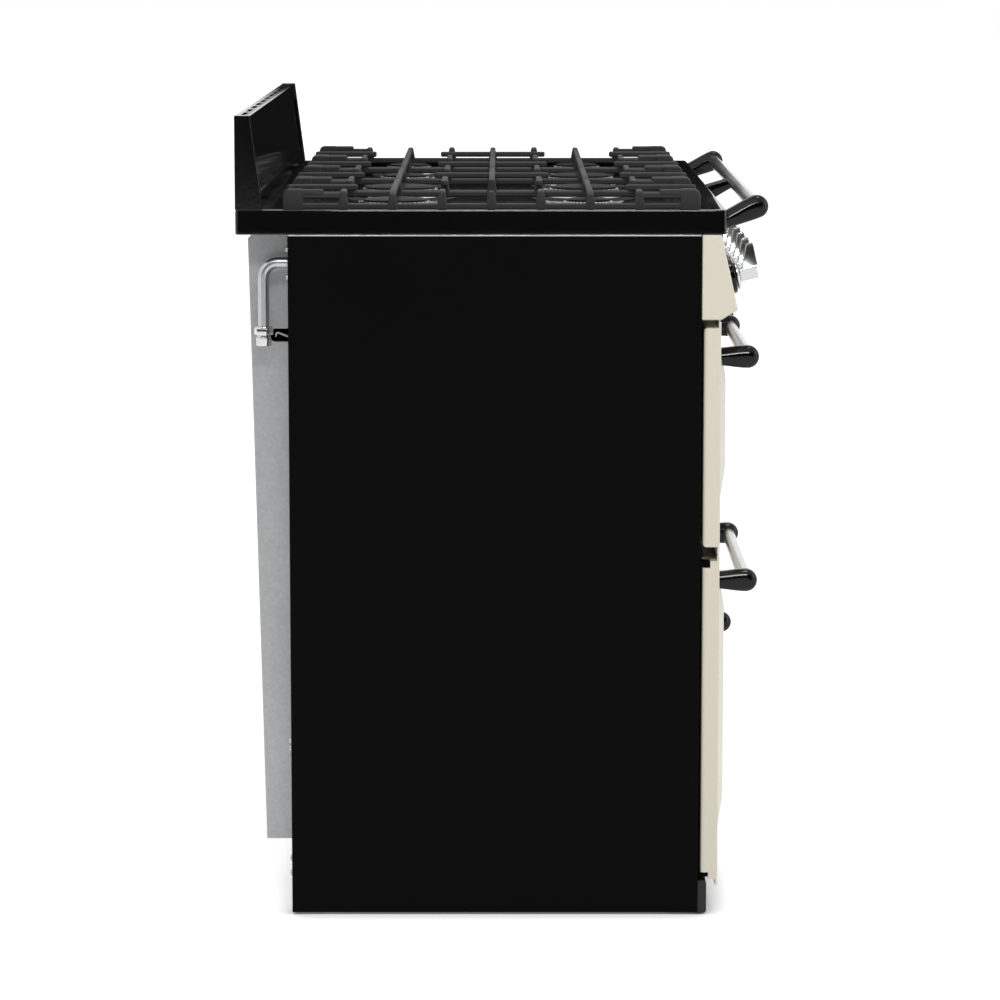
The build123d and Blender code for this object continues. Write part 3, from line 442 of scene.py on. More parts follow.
@dataclass
class PanSupport:
    """One cast grid over a pair of burners, whose bars are stepped where they meet."""

    number: int
    iron: float = 8.0
    rail: Span = (898.0, 906.0)
    bar: Span = (914.0, 922.0)
    burner_step: float = 124.0
    post_steps: Span = (62.0, 186.0)
    flare: float = 3.5
    stub: float = 38.0
    finger_stop: float = 48.0
    bridge: float = 77.0
    bare: int = 1
    foot_size: Span = (12.5, 26.0)
    foot_slope: Profile = ((-9.0, 0.0), (-3.0, 2.0), (0.0, 6.0))
    corner_bar: Span = (7.0, 52.0)
    side_drop: float = 2.2
    floor_gap: float = 0.3
    run_in: float = 1.0
    small_step: float = 0.2
    step: float = 0.4
    rail_step: float = 0.6
    bar_step: float = 0.8
    end_step: float = 2.0
    edge: float = 2.4
    nose: Span = (9.0, 3.0)
    xs: Span = field(init=False)
    ys: Span = field(init=False)
    zs: Span = field(init=False)
    middle: float = field(init=False)
    grid: Shells = field(init=False, default_factory=Shells)

    def __post_init__(self) -> None:
        """Take the place of the grid from its node."""
        self.xs, self.ys, self.zs = extent(self.node())
        self.middle = sum(self.ys) / 2

    def node(self) -> str:
        """Return the name of its node, which is also its body's."""
        return f"pan_support_{self.number}"

    def build(self) -> None:
        """Cast the rails, flared posts, fingers and corner feet."""
        for side in (-1, 1):
            self.long_side(side)
        for tail in (-1, 1):
            self.short_end(tail)
        if self.number != self.bare:
            self.cross_bar(self.middle)
            self.grid.box(about(sum(self.xs) / 2, self.iron), about(self.middle, 2 * self.bridge),
                          (self.bar[0] + self.small_step, self.bar[1] - self.small_step))
        name = self.node()
        self.grid.piece(name + "_casting", CAST_IRON, name, "cast_iron", [name], self.edge)

    def across(self) -> Span:
        """Return the reach of a cross bar, just inside the long sides."""
        return self.xs[0] + self.bar_step, self.xs[1] - self.bar_step

    def cross_bar(self, y: float) -> None:
        """Add a bar from side to side, with its middle at y, whose ends slope down."""
        run, drop = self.nose
        low, high = self.across()
        ys = about(y, self.iron)
        foot, top = self.bar
        rings = []
        for x, level in ((low, top - drop), (low + run, top), (high - run, top), (high, top - drop)):
            rings.append([(x, ys[0], foot), (x, ys[1], foot), (x, ys[1], level), (x, ys[0], level)])
        self.grid.loft(rings)

    def long_side(self, side: int) -> None:
        """Add the left side, -1, or the right one, 1, with its posts, stubs and corner feet."""
        face = self.xs[0] if side < 0 else self.xs[1]
        back = face - side * self.iron
        self.grid.box(ordered(face - side * self.rail_step, back),
                      (self.ys[0] + self.end_step, self.ys[1] - self.end_step), self.rail)
        steps = [-self.burner_step, 0.0, self.burner_step]
        steps += [way * step for step in self.post_steps for way in (-1, 1)]
        for step in steps:
            seat = about(self.middle + step, self.iron)
            stubbed = abs(step) in self.post_steps
            full = stubbed or (step == 0 and self.number == self.bare)
            top = self.bar[1] - self.step - (0.0 if full else self.nose[1])
            self.grid.box(ordered(face, back - side * self.rail_step), seat,
                          (self.rail[0] - self.rail_step, top), (0.0, self.flare))
            if stubbed:
                self.grid.box(ordered(face - side * self.step, face - side * self.stub), seat, self.bar)
        for tail in (-1, 1):
            self.corner(face, side, tail)

    def corner(self, face: float, side: int, tail: int) -> None:
        """Add one corner: a sloped foot, and the two bars that run in to it.

        Args:
            face: The outer face of its long side.
            side: -1 for the left side, 1 for the right one.
            tail: -1 for the front end, 1 for the rear one.
        """
        tip = self.ys[0] if tail < 0 else self.ys[1]
        inner = face - side * self.foot_size[0]
        far = tip - tail * self.foot_size[1]
        top = self.zs[1]
        levels = [(self.zs[0] + self.floor_gap, 0.0)]
        levels += [(top + drop, run) for drop, run in self.foot_slope]
        rings = []
        for level, run in levels:
            near = tip - tail * run
            rings.append([(face, near, level), (inner, near, level),
                          (inner, far, level), (face, far, level)])
        self.grid.loft(rings)
        start = tip - tail * self.corner_bar[0]
        bar_top = top - self.step
        self.grid.box(ordered(face - side * self.step, face - side * (self.iron + self.small_step)),
                      ordered(start, tip - tail * self.corner_bar[1]), (bar_top - self.iron, bar_top))
        stop = self.middle + tail * (self.post_steps[1] - self.iron / 2 + self.run_in)
        self.grid.box(ordered(face - side * self.bar_step, face - side * self.iron), ordered(start, stop),
                      (self.bar[0] - self.side_drop - self.small_step, self.bar[1] - self.side_drop))

    def short_end(self, tail: int) -> None:
        """Add the front end, -1, or the rear one, 1, its finger and the bar over its burner."""
        tip = self.ys[0] if tail < 0 else self.ys[1]
        middle = about(sum(self.xs) / 2, self.iron)
        self.grid.box(self.across(), ordered(tip - tail * self.rail_step, tip - tail * self.iron),
                      (self.rail[0] + self.step, self.rail[1] - self.step))
        self.grid.box(middle, ordered(tip, tip - tail * (self.iron + self.rail_step)),
                      (self.rail[0] - self.step, self.bar[1] - self.step), (self.flare, 0.0))
        burner = self.middle + tail * self.burner_step
        self.grid.box(middle, ordered(tip - tail * self.step, burner + tail * self.finger_stop), self.bar)
        self.cross_bar(burner)


@dataclass
class BarHandle:
    """A chrome bar held by glossy posts on a flat root."""

    name: str
    body: str
    root: Span
    xs: Span
    arms: tuple[float, ...] = ()
    arm_section: Profile = ((12.0, 2.4), (11.3, 1.0), (9.8, 0.2), (8.0, 0.0))
    arm: float = 7.0
    foot: float = 11.0
    end: float = 14.5
    tuck: float = 2.0
    flank_steps: int = 8
    nose_steps: int = 24
    section: Profile = ((12.6, 10.0), (12.55, 9.6), (12.35, 9.0), (10.3, 4.4), (9.7, 3.5),
                        (8.6, 2.2), (7.0, 0.9), (5.0, 0.2), (3.0, 0.0))
    tip: Vector = field(init=False)
    radius: float = field(init=False)

    def __post_init__(self) -> None:
        """Take the line and the radius of the bar from its node."""
        _, ys, zs = extent(self.name + "_bar")
        self.tip = Vector((sum(ys) / 2, sum(zs) / 2))
        self.radius = (zs[1] - zs[0]) / 2

    def build(self) -> None:
        """Mould the posts with a ridge along each side, and draw the bar."""
        posts = Shells()
        for middle in self.xs:
            self.post(posts, middle, self.section, self.end, True)
        for middle in self.arms:
            self.post(posts, middle, self.arm_section, self.arm, False)
        posts.piece(self.name + "_mouldings", PHENOLIC, self.body, "black_gloss", [self.name + "_posts"])
        tube = Shells()
        half = (self.xs[1] - self.xs[0]) / 2 - self.tuck
        place = along_x(sum(self.xs) / 2, *self.tip)
        tube.lathe([(self.radius, -half), (self.radius, half)], place, Round.LARGE)
        tube.piece(self.name + "_tube", SATIN_CHROME, self.body, "chrome", [self.name + "_bar"])

    def post(self, posts: Shells, middle: float, section: Sequence[Span], end: float,
             capped: bool) -> None:
        """Mould one post about a place on the bar.

        Args:
            posts: The shells it is added to.
            middle: Its place along X.
            section: Half of its section: how far out along X, and how far the side is drawn in there.
            end: Half of its height at the bar.
            capped: Whether it closes round the bar, or ends behind it.
        """
        sides = [(-out, trim) for out, trim in section]
        sides += [(out, trim) for out, trim in reversed(section)]
        posts.loft([[(middle + out, y, z) for y, z in self.outline(trim, end, capped)]
                    for out, trim in sides])

    def outline(self, trim: float, end: float, capped: bool) -> list[Span]:
        """Draw the side of a post.

        Args:
            trim: How far it is drawn in, all round.
            end: Half of its height at the bar.
            capped: Whether it closes round the bar.

        Returns:
            The outline in Y and Z.
        """
        root = Vector(self.root)
        run = self.tip - root
        ahead = run.normalized()
        aside = Vector((ahead.y, -ahead.x))
        flanks = []
        for way in (1, -1):
            flank = []
            for step in range(self.flank_steps + 1):
                share = step / self.flank_steps
                swell = self.foot + (end - self.foot) * share * share * (3 - 2 * share) - trim
                flank.append(root + run * share + aside * swell * way)
            flanks.append(flank)
        nose = []
        for step in range(1, self.nose_steps if capped else 1):
            turn = math.pi / 2 - math.pi * step / self.nose_steps
            nose.append(self.tip + (aside * math.sin(turn) + ahead * math.cos(turn)) * (end - trim))
        return [(point.x, point.y) for point in flanks[0] + nose + list(reversed(flanks[1]))]


LEFT_POSTS = (-475.5, -75.5)
RIGHT_POSTS = (75.5, 475.5)
DOOR_FACE = -272.0
HANDLES = (
    BarHandle("rail", BODY, (-278.0, 884.0), (-510.0, 510.0), (0.0,)),
    BarHandle("grill_handle", "grill_door", (DOOR_FACE, 709.0), LEFT_POSTS),
    BarHandle("left_oven_handle", "left_oven_door", (DOOR_FACE, 421.5), LEFT_POSTS),
    BarHandle("right_oven_handle", "right_oven_door", (DOOR_FACE, 709.0), RIGHT_POSTS),
    BarHandle("drawer_handle", "drawer", (DOOR_FACE, 270.5), RIGHT_POSTS),
)


@dataclass
class ControlRow:
    """The folded fascia with its eleven knobs, black bezels and plain dial marks."""

    pitch: float = 92.0
    line: Span = (-287.4, 809.0)
    lean: Span = (-0.97594, 0.21803)
    face: Profile = ((-249.5, 869.0), (-274.0, 869.0), (-295.0, 775.0), (-274.0, 762.0), (-249.5, 762.0))
    bezel: Profile = ((22.5, 0.0), (22.5, 5.5), (21.6, 7.6), (19.8, 8.7), (17.0, 9.0), (6.0, 9.0))
    skirt: Profile = ((16.0, 9.6), (18.5, 10.2), (18.5, 12.2), (17.0, 13.4), (12.0, 15.4), (4.0, 15.5))
    stem: Profile = ((4.0, -14.0), (4.0, 9.7))
    lever_steps: tuple[float, ...] = (-9.0, 5.6, 8.0, 36.0)
    lever_halves: tuple[float, ...] = (7.3, 8.3, 6.8, 6.1)
    lever_levels: Profile = ((14.8, 37.8), (14.8, 37.8), (19.6, 39.4), (30.6, 39.4))
    lever_edge: float = 0.9
    face_edge: float = 2.0
    tick: Span = (38.5, 43.0)
    tick_width: float = 1.4
    tick_step_deg: float = 30.0
    burner_turn_deg: float = 210.0
    oven_turn_deg: float = 270.0
    oven_knobs: tuple[int, ...] = (1, 2, 11)
    dot: float = 2.4
    print_height: float = 0.15

    def build(self) -> None:
        """Fold the fascia and fit its controls."""
        sheet = Shells()
        sheet.prism(self.face, extent("control_fascia")[0])
        sheet.piece("control_fascia_pressing", CREAM_ENAMEL, BODY, "cream_enamel", ["control_fascia"],
                    self.face_edge)
        rings = Shells()
        marks = Shells()
        for number in KNOBS:
            place = self.place(number)
            rings.lathe(self.bezel, place)
            turn = self.oven_turn_deg if number in self.oven_knobs else self.burner_turn_deg
            self.marks(marks, place, turn)
            self.knob(number, place)
        rings.piece("knob_bezel_mouldings", PHENOLIC, BODY, "black_gloss", ["knob_bezels"])
        marks.piece("dial_marks", PRINT, BODY, "black_enamel")

    def place(self, number: int) -> Matrix:
        """Return a knob's place on the fascia: Z outwards, X along the cooker."""
        out = Vector((0.0, *self.lean))
        across = Vector((1.0, 0.0, 0.0))
        turn = Matrix((across, out.cross(across), out)).transposed().to_4x4()
        middle = (KNOBS[0] + KNOBS[-1]) / 2
        return Matrix.Translation(((number - middle) * self.pitch, *self.line)) @ turn

    def knob(self, number: int, place: Matrix) -> None:
        """Cast the lever, skirt and stem of one knob.

        Args:
            number: Its number, from the left.
            place: Its place on the fascia.
        """
        name = f"knob_{number}"
        body = Shells()
        rings = []
        for up, half, (low, high) in zip(self.lever_steps, self.lever_halves, self.lever_levels):
            corners = ((-half, low), (-half, high), (half, high), (half, low))
            rings.append([place @ Vector((x, up, out)) for x, out in corners])
        body.loft(rings)
        body.lathe(self.skirt, place)
        body.lathe(self.stem, place, Round.SMALL)
        body.piece(name + "_casting", CHROME, name, "chrome", [name], self.lever_edge)

    def marks(self, marks: Shells, place: Matrix, turn_deg: float) -> None:
        """Print a dot for off, and plain ticks over the knob's turn.

        Args:
            marks: The shells they are added to.
            place: The knob's place on the fascia.
            turn_deg: How far the knob turns.
        """
        levels = (-self.print_height, self.print_height)
        top = place @ Matrix.Translation((0.0, sum(self.tick) / 2, 0.0))
        marks.lathe([(self.dot, level) for level in levels], top, Round.SMALL)
        for step in range(1, round(turn_deg / self.tick_step_deg) + 1):
            turned = place @ Matrix.Rotation(math.radians(self.tick_step_deg * step), 4, "Z")
            half = self.tick_width / 2
            low, high = self.tick
            corners = ((-half, low), (half, low), (half, high), (-half, high))
            marks.loft([[turned @ Vector((x, y, level)) for x, y in corners] for level in levels])


@dataclass
class Burner:
    """One burner: toothed alloy crown, enamelled cap, dished well and electrode."""

    x: float
    y: float
    radius: float
    deck: float = 888.0
    seat: float = 891.0
    teeth: int = 40
    tooth_share: float = 0.55
    tooth_depth: float = 9.0
    tooth: Profile = ((-1.4, 4.6), (-2.4, 8.6), (-3.6, 10.0))
    well: Profile = ((20.0, 0.1), (14.0, 1.6), (9.0, 2.2), (3.0, 1.2), (-10.0, 0.9))
    crown: Profile = ((-6.0, -1.6), (4.6, -1.4), (5.2, -0.6), (4.8, 0.2), (0.0, 4.2),
                      (-3.6, 5.2), (-5.0, 6.4), (-7.0, 9.2), (-12.0, 9.4))
    cap: Profile = ((-12.0, 8.0), (-6.6, 9.4), (-6.2, 10.8), (-7.2, 12.2), (-12.0, 13.5), (-20.0, 14.0))
    pin: Profile = ((2.6, -3.0), (2.6, 5.0), (1.2, 6.5), (1.0, 9.0))
    pin_gap: float = 6.0
    pin_turn_deg: float = 37.0

    def build(self, wells: Shells, crowns: Shells, caps: Shells, pins: Shells) -> None:
        """Add this burner's shells to the shared pieces.

        Args:
            wells: The dished rings in the deck.
            crowns: The toothed flame rings.
            caps: The enamelled caps.
            pins: The spark electrodes.
        """
        place = upright(self.x, self.y)
        wells.lathe(self.turned(self.well, self.deck), place, Round.LARGE)
        crowns.lathe(self.turned(self.crown, self.seat), place, Round.LARGE)
        caps.lathe(self.turned(self.cap, self.seat), place, Round.LARGE)
        half = math.pi * self.radius / self.teeth * self.tooth_share
        root = self.radius - self.tooth_depth
        for step in range(self.teeth):
            turned = place @ Matrix.Rotation(2 * math.pi * step / self.teeth, 4, "Z")
            rings = []
            for out, level in self.turned(self.tooth, self.seat):
                ring = ((root, -half), (out, -half), (out, half), (root, half))
                rings.append([turned @ Vector((u, v, level)) for u, v in ring])
            crowns.loft(rings)
        turn = math.radians(self.pin_turn_deg)
        away = self.radius + self.pin_gap
        spot = upright(self.x + away * math.cos(turn), self.y + away * math.sin(turn), self.seat)
        pins.lathe(self.pin, spot, Round.PIN)

    def turned(self, profile: Sequence[Span], level: float) -> list[Span]:
        """Return a profile set out from the crown's radius and a level."""
        return [(self.radius + out, level + height) for out, height in profile]


@dataclass
class BurnerSet:
    """The eight burners, in two rows under the pan supports."""

    rear: tuple[float, ...] = (95.0, 107.0, 75.0, 72.0)
    front: tuple[float, ...] = (70.0, 100.0, 99.0, 75.0)
    step: float = 124.0

    def build(self) -> None:
        """Make the burners as four shared pieces."""
        wells, crowns, caps, pins = Shells(), Shells(), Shells(), Shells()
        for number, rear, front in zip(SUPPORTS, self.rear, self.front):
            xs, ys, _ = extent(f"pan_support_{number}")
            x, y = sum(xs) / 2, sum(ys) / 2
            Burner(x, y + self.step, rear / 2).build(wells, crowns, caps, pins)
            Burner(x, y - self.step, front / 2).build(wells, crowns, caps, pins)
        wells.piece("burner_wells", CAP_ENAMEL, BODY, "black_enamel")
        crowns.piece("burner_crown_castings", DIE_CAST, BODY, "burner_alloy", ["burner_crowns"])
        caps.piece("burner_cap_pressings", CAP_ENAMEL, BODY, "black_enamel", ["burner_caps"])
        pins.piece("burner_electrodes", CERAMIC, BODY, "plated_steel")


@dataclass
class SidePanels:
    """The two black side panels, each with a rear return, and a pale zinc strip along its top edge that
    stands in for the highlight there: a painted highlight.
    """

    thick: float = 1.5
    fold: float = 20.0
    foot: float = 3.0
    strip: Span = (1.8, 2.4)
    edge: float = 0.7
    strip_edge: float = 0.6
    gap: float = 1.0

    def build(self) -> None:
        """Fold both panels, and the edge strips that paint in their highlights."""
        xs, ys, zs = extent("side_panels")
        top = zs[1] - self.strip[0]
        strips = Shells()
        for name, outer, side in (("left", xs[0], -1), ("right", xs[1], 1)):
            sheet = Shells()
            inner = outer - side * self.thick
            sheet.box(ordered(outer, inner), ys, (self.foot, top))
            sheet.box(ordered(outer - side * self.gap, inner - side * self.fold),
                      (ys[1] - self.thick, ys[1]), (self.foot, top))
            hides = ["side_panels"] if side < 0 else []
            sheet.piece(name + "_side_sheet", STOVE_PAINT, BODY, "black_paint", hides, self.edge)
            # A pale zinc strip along the top edge: a painted highlight where the light catches the panel's
            # edge
            strips.box(ordered(outer, outer - side * self.strip[1]),
                       (ys[0] + self.gap, ys[1] - self.gap), (top, zs[1]))
        strips.piece("panel_edge_highlight_strips", ZINC_PLATE, BODY, "plated_steel", (), self.strip_edge)


@dataclass
class Hob:
    """The pressed hob tray, and the splashback that stands on its rear rim."""

    inset: float = 0.8
    rim: float = 18.0
    deck_ys: Span = (-263.0, 290.0)
    deck: float = 888.0
    corners: Span = (5.0, 14.0)
    corner_steps: int = 5
    outer_edge: Profile = ((0.0, -2.2), (0.7, -0.6), (2.4, 0.0))
    foot_edge: float = 1.2
    well_foot: Profile = ((0.6, 2.4), (3.0, 0.0))
    splash_face: Span = (299.0, 314.0)
    border: float = 22.0
    sheet: float = 2.0
    recess: float = 3.0
    lip: float = 6.0
    vents: int = 11
    vent_gap: float = 24.0
    vent_end: float = 2.0
    splash_edge: float = 1.3
    tuck: float = 0.3
    lap: float = 1.0
    half: float = field(init=False)
    ys: Span = field(init=False)
    foot: float = field(init=False)
    rim_top: float = field(init=False)
    top: float = field(init=False)

    def __post_init__(self) -> None:
        """Take the place of the hob from its nodes."""
        xs, ys, (self.foot, self.rim_top) = extent("hob_tray")
        self.half = xs[1] - self.inset
        self.ys = (ys[0] + self.inset, ys[1] - self.inset)
        self.top = extent("splashback")[2][1]

    def build(self) -> None:
        """Press the tray and fold the splashback."""
        self.tray()
        self.splashback()

    def tray(self) -> None:
        """Press the skirt, rolled rim and sunk deck as one sheet."""
        outer = [(self.foot_edge, self.foot), (0.0, self.foot + self.foot_edge)]
        outer += [(trim, self.rim_top + drop) for trim, drop in self.outer_edge]
        inner = [(-trim, self.rim_top + drop) for trim, drop in reversed(self.outer_edge)]
        inner += [(trim, self.deck + rise) for trim, rise in self.well_foot]
        well = self.half - self.rim
        rings = [self.rounded(self.half, self.ys, trim, level, self.corners[0]) for trim, level in outer]
        rings += [self.rounded(well, self.deck_ys, trim, level, self.corners[1]) for trim, level in inner]
        shell = Shells()
        shell.loft(rings)
        shell.piece("hob_tray_pressing", BLACK_ENAMEL, BODY, "black_enamel", ["hob_tray"])

    def rounded(self, half: float, ys: Span, trim: float, level: float, corner: float) -> list[Point]:
        """Return a level ring with round corners.

        Args:
            half: Half of its width along X.
            ys: Its span along Y.
            trim: How far it is drawn in, all round.
            level: Its height.
            corner: The radius of its corners before it is drawn in.

        Returns:
            The ring's points.
        """
        radius = corner - trim
        points = []
        for quarter, (way_x, y) in enumerate(((1, ys[1]), (-1, ys[1]), (-1, ys[0]), (1, ys[0]))):
            way_y = 1 if y == ys[1] else -1
            middle = (way_x * (half - corner), y - way_y * corner)
            for step in range(self.corner_steps + 1):
                turn = math.pi / 2 * (quarter + step / self.corner_steps)
                points.append((middle[0] + radius * math.cos(turn),
                               middle[1] + radius * math.sin(turn), level))
        return points

    def face(self, level: float, depth: float) -> float:
        """Return the Y of the splashback's face at a level, moved back by a depth."""
        share = (level - self.rim_top) / (self.top - self.rim_top)
        return self.splash_face[0] + (self.splash_face[1] - self.splash_face[0]) * share + depth

    def slab(self, shells: Shells, xs: Span, zs: Span, depths: Span) -> None:
        """Add a slab of the leaning face, between two depths behind it."""
        shells.prism([(self.face(zs[0], depths[0]), zs[0]), (self.face(zs[1], depths[0]), zs[1]),
                      (self.face(zs[1], depths[1]), zs[1]), (self.face(zs[0], depths[1]), zs[0])], xs)

    def splashback(self) -> None:
        """Fold the ends, the border round the sunk face, the back and the slotted top."""
        metal = Shells()
        low, high, back = self.rim_top, self.top, self.ys[1]
        tuck, lap = self.tuck, self.lap
        for side in (-1, 1):
            ends = ordered(side * self.half, side * (self.half - self.border))
            metal.prism([(self.face(low, 0), low), (self.face(high, 0), high), (back, high), (back, low)],
                        ends)
        run = (-self.half + self.border - lap, self.half - self.border + lap)
        self.slab(metal, run, (low, low + self.border), (tuck, self.lip))
        self.slab(metal, run, (high - self.border, high - tuck), (tuck, self.lip - tuck))
        self.slab(metal, run, (low + self.border - lap, high - self.border + lap),
                  (self.recess, self.recess + self.sheet))
        metal.box(run, (back - self.sheet, back - tuck), (low, high - tuck))
        top = (high - self.sheet - tuck, high - tuck)
        metal.box(run, (self.face(high, self.recess), self.face(high, self.lip + lap)), top)
        metal.box(run, (back - self.lip, back - lap), top)
        pitch = (run[1] - run[0]) / self.vents
        for number in range(self.vents + 1):
            edge = about(run[0] + number * pitch, self.vent_gap)
            bridge = (max(edge[0], run[0]), min(edge[1], run[1]))
            metal.box(bridge, (self.face(high, self.recess + lap), back - self.vent_end),
                      (top[0] + tuck, top[1] - tuck / 2))
        metal.piece("splashback_pressing", BLACK_ENAMEL, BODY, "black_enamel", ["splashback"],
                    self.splash_edge)


@dataclass
class RearFittings:
    """What the back shows: gas union, anchor tabs, swaged cover and screw heads."""

    nut: Profile = ((7.3, 751.0), (11.6, 750.2), (12.6, 748.6), (12.6, 742.4), (11.6, 741.0), (7.3, 741.0))
    nut_turn_rad: float = 0.3
    ferrule: Profile = ((7.3, 749.0), (10.6, 749.0), (10.6, 750.6), (9.4, 752.0), (7.3, 752.0))
    collar: Profile = ((7.6, 741.6), (8.2, 740.4), (8.2, 738.6), (9.6, 737.8), (9.6, 728.4),
                       (8.8, 727.2), (7.6, 727.2))
    union_edge: float = 0.5
    tab: Profile = ((267.5, 735.2), (284.0, 741.8), (287.0, 740.2), (287.6, 735.6), (286.0, 735.2),
                    (285.2, 738.8), (283.4, 739.4), (268.0, 733.2))
    tab_width: Span = (0.5, 12.0)
    screw: Profile = ((4.2, 0.0), (4.2, 1.2), (3.4, 2.2), (1.6, 2.8), (0.6, 2.9))
    screw_x: float = 540.0
    screw_levels: tuple[float, ...] = (53.0, 72.0, 215.0, 225.0, 815.0, 850.0)
    swage_levels: tuple[float, ...] = (250.0, 450.0, 650.0)
    swage: Profile = ((-0.6, -10.0), (0.5, -7.5), (1.5, -4.0), (1.9, 0.0), (1.5, 4.0), (0.5, 7.5),
                      (-0.6, 10.0))
    swage_margin: float = 70.0
    cover_foot: float = 303.0
    cover_lean: float = 18.0
    cover_chamfer: float = 9.0

    def build(self) -> None:
        """Make every fitting of the back."""
        xs, ys, _ = extent("inlet_nut")
        place = upright(sum(xs) / 2, sum(ys) / 2)
        union = Shells()
        union.lathe(self.ferrule, place, Round.UNION)
        union.lathe(self.nut, place @ Matrix.Rotation(self.nut_turn_rad, 4, "Z"), Round.HEXAGON)
        union.lathe(self.collar, place, Round.UNION)
        union.piece("inlet_union", NICKEL, BODY, "plated_steel", ["inlet_nut"], self.union_edge)
        self.cover()
        heads = Shells()
        back = extent("side_panels")[1][1]
        for x in (-self.screw_x, self.screw_x):
            for level in self.screw_levels:
                heads.lathe(self.screw, rearward(x, back, level), Round.SMALL)
        heads.piece("panel_screw_heads", ZINC_PLATE, BODY, "plated_steel", ["panel_screws"])

    def cover(self) -> None:
        """Bend the anchor tabs and press the stiffening swages of the rear cover."""
        xs, _, zs = extent("rear_cover")
        tabs = Shells()
        for outer, side in ((xs[0], -1), (xs[1], 1)):
            tabs.prism(self.tab, ordered(*(outer - side * depth for depth in self.tab_width)))
        tabs.piece("rear_cover_tabs", GALVANISED, BODY, "galvanised")
        swages = Shells()
        rise = zs[1] - self.cover_chamfer - zs[0]
        for level in self.swage_levels:
            outline = []
            for out, up in self.swage:
                height = level + up
                outline.append((self.cover_foot + self.cover_lean * (height - zs[0]) / rise + out, height))
            swages.prism(outline, (xs[0] + self.swage_margin, xs[1] - self.swage_margin))
        swages.piece("rear_cover_swages", GALVANISED, BODY, "galvanised")


class Throw(Enum):
    """How a studio lamp throws its light."""

    SUN = "even, from far off"
    SOFTBOX = "from a lit panel"


@dataclass(frozen=True)
class Lamp:
    """A lamp that faces the cooker.

    A softbox has a place, watts, and a width and height. A sun has the way towards it, watts per
    square metre, and how wide it looks in degrees.
    """

    name: str
    throw: Throw
    place: Point
    power: float
    size: Span

    def hang(self) -> None:
        """Hang the lamp, out of the camera's sight."""
        boxed = self.throw is Throw.SOFTBOX
        aim = Vector((0.0, 0.0, CAD_BOX[1][2] / 2)) if boxed else Vector()
        data = bpy.data.lights.new(self.name, "AREA" if boxed else "SUN")
        data.energy = self.power
        if boxed:
            data.shape = "RECTANGLE"
            data.size, data.size_y = self.size
        else:
            data.angle = math.radians(self.size[0])
        made = bpy.data.objects.new(self.name, data)
        made.location = self.place
        made.rotation_euler = (aim - Vector(self.place)).to_track_quat("-Z", "Y").to_euler()
        made.visible_camera = False
        bpy.context.scene.collection.objects.link(made)


@dataclass(frozen=True)
class Card:
    """A dark card across X, tall and wide by size, which only polished surfaces see."""

    name: str
    place: Point
    size: Span
    colour: str = "1A1A1A"

    def stand(self) -> None:
        """Stand the card in the studio."""
        bpy.ops.mesh.primitive_plane_add(size=1.0, location=self.place, rotation=(0, math.pi / 2, 0))
        made = bpy.context.object
        made.name = self.name
        made.scale = (*self.size, 1.0)
        cloth = blank_material(self.name + " cloth")
        dark = add_node(cloth.node_tree, "BsdfDiffuse", {"Color": linear(self.colour)})
        add_node(cloth.node_tree, "OutputMaterial", None, {"Surface": dark.outputs[0]})
        made.data.materials.append(cloth)
        made.visible_camera = False
        made.visible_diffuse = False
        made.visible_shadow = False


LAMPS = (
    Lamp("key_softbox", Throw.SOFTBOX, place=(-2.6, -0.1, 2.35), power=22.0, size=(1.3, 0.13)),
    Lamp("front_softbox", Throw.SOFTBOX, place=(-1.6, -3.2, 1.0), power=13.0, size=(0.12, 2.2)),
    Lamp("fill_light", Throw.SUN, place=(-0.8, 0.6, 0.6), power=0.5, size=(60.0, 0.0)),
    Lamp("top_light", Throw.SUN, place=(-0.12, -0.1, 1.0), power=0.5, size=(12.0, 0.0)),
    Lamp("front_light", Throw.SUN, place=(-0.1, -1.0, 0.5), power=0.36, size=(40.0, 0.0)),
)
CARDS = (
    Card("near_card", place=(-12.5, 0.0, 4.5), size=(12.0, 28.0)),
    Card("far_card", place=(0.75, 0.273, 0.955), size=(0.18, 1.254)),
)


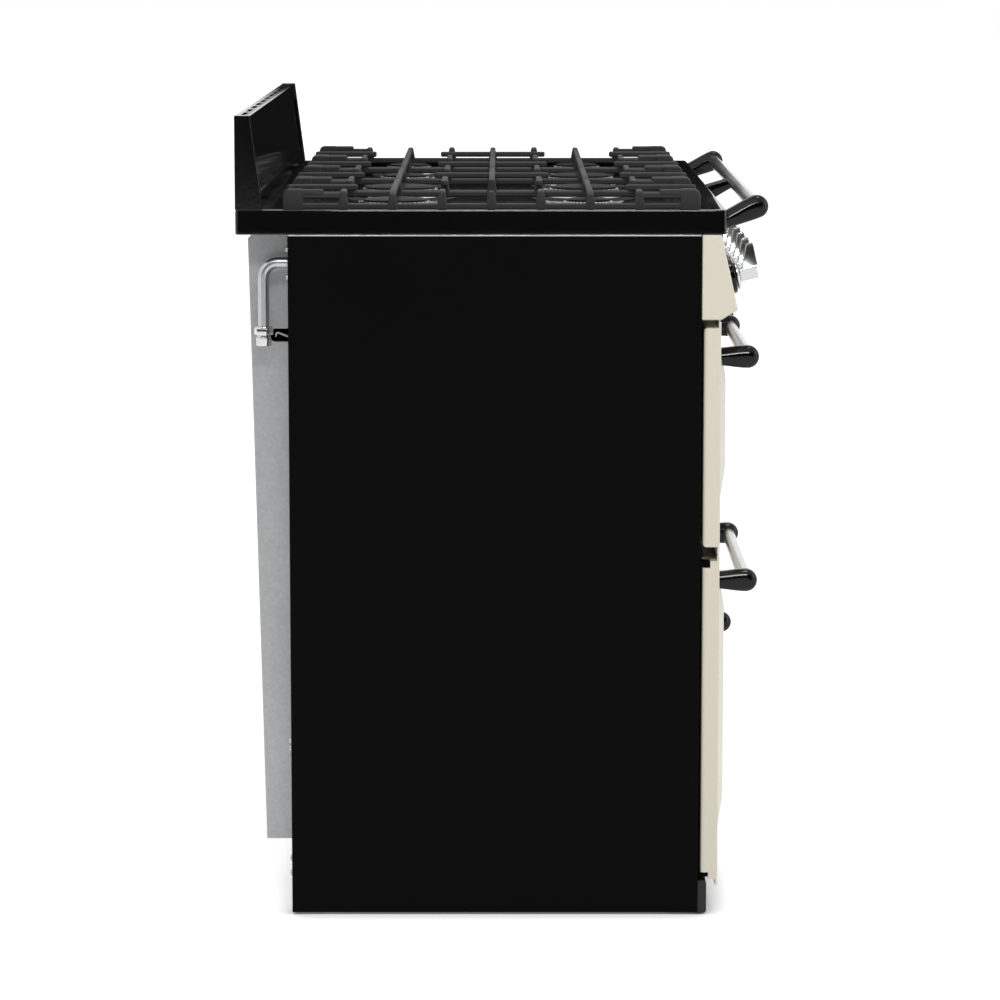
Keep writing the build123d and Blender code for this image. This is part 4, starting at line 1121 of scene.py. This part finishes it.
@dataclass
class Studio:
    """White sweep, soft lamps, dark cards and the camera of the photograph."""

    camera_place: Point = (-5.4288, 0.0028, 1.2357)
    tilt_deg: float = 8.17
    heading_deg: float = -90.0
    lens_mm: float = 141.0
    sensor_mm: float = 36.0
    floor_size: float = 80.0
    floor_colour: str = "BCBCBC"
    floor_glow: float = 0.74
    # How far and how hard the painted contact shadow darkens the floor's glow
    painted_shadow_reach: float = 0.045
    painted_shadow_power: float = 1.5
    ambient: float = 0.6

    def build(self) -> None:
        """Set the floor, the room, the lamps, the cards and the camera."""
        self.floor()
        self.room()
        for lamp in LAMPS:
            lamp.hang()
        for card in CARDS:
            card.stand()
        self.camera()

    def floor(self) -> None:
        """Lay a pale floor that looks white, but for a painted shadow in its glow close to the cooker."""
        bpy.ops.mesh.primitive_plane_add(size=self.floor_size)
        plane = bpy.context.object
        plane.name = "studio_floor"
        made = blank_material("white studio floor")
        tree = made.node_tree
        matt = add_node(tree, "BsdfDiffuse", {"Color": linear(self.floor_colour)})
        # Ambient occlusion darkens the glow close to the cooker: a painted contact shadow
        open_sky = add_node(tree, "AmbientOcclusion", {"Distance": self.painted_shadow_reach})
        near = add_node(tree, "Math", {"operation": "POWER", 1: self.painted_shadow_power},
                        {0: open_sky.outputs["AO"]})
        lit = add_node(tree, "Math", {"operation": "MULTIPLY", 1: self.floor_glow}, {0: near.outputs[0]})
        shown = add_node(tree, "Math", {"operation": "MULTIPLY"}, {0: lit.outputs[0], 1: self.seen(tree)})
        glow = add_node(tree, "Emission", {"Color": WHITE}, {"Strength": shown.outputs[0]})
        both = add_node(tree, "AddShader", None, {0: matt.outputs[0], 1: glow.outputs[0]})
        add_node(tree, "OutputMaterial", None, {"Surface": both.outputs[0]})
        plane.data.materials.append(made)

    def room(self) -> None:
        """Make an even room light that the camera and mirrors see as white."""
        world = bpy.data.worlds.new("white room")
        bpy.context.scene.world = world
        world.use_nodes = True
        tree = world.node_tree
        tree.nodes.clear()
        level = add_node(tree, "MapRange", {"To Min": self.ambient, "To Max": 1.0},
                         {"Value": self.seen(tree)})
        sky = add_node(tree, "Background", {"Color": WHITE}, {"Strength": level.outputs[0]})
        add_node(tree, "OutputWorld", None, {"Surface": sky.outputs[0]})

    def seen(self, tree: Tree) -> Socket:
        """Return 1 where the camera, a mirror or a glass looks, and 0 for other light."""
        path = add_node(tree, "LightPath")
        found = path.outputs["Is Camera Ray"]
        for ray in ("Is Transmission Ray", "Is Glossy Ray"):
            either = add_node(tree, "Math", {"operation": "MAXIMUM"}, {0: found, 1: path.outputs[ray]})
            found = either.outputs[0]
        return found

    def camera(self) -> None:
        """Set the camera square to the left side, looking a little down."""
        data = bpy.data.cameras.new("photo_camera")
        data.lens = self.lens_mm
        data.sensor_width = self.sensor_mm
        made = bpy.data.objects.new("photo_camera", data)
        made.location = self.camera_place
        made.rotation_euler = (math.radians(90 - self.tilt_deg), 0, math.radians(self.heading_deg))
        bpy.context.scene.collection.objects.link(made)
        bpy.context.scene.camera = made
        bpy.context.scene.view_settings.view_transform = "Standard"


def main() -> None:
    """Build the studio, then dress the cooker part by part."""
    logging.basicConfig(level=logging.INFO, format="%(name)s: %(message)s")
    dress_nodes()
    Studio().build()
    supports = [PanSupport(number) for number in SUPPORTS]
    for part in (*supports, *HANDLES, ControlRow(), BurnerSet(), SidePanels(), Hob(), RearFittings()):
        part.build()


if __name__ == "__main__":
    main()
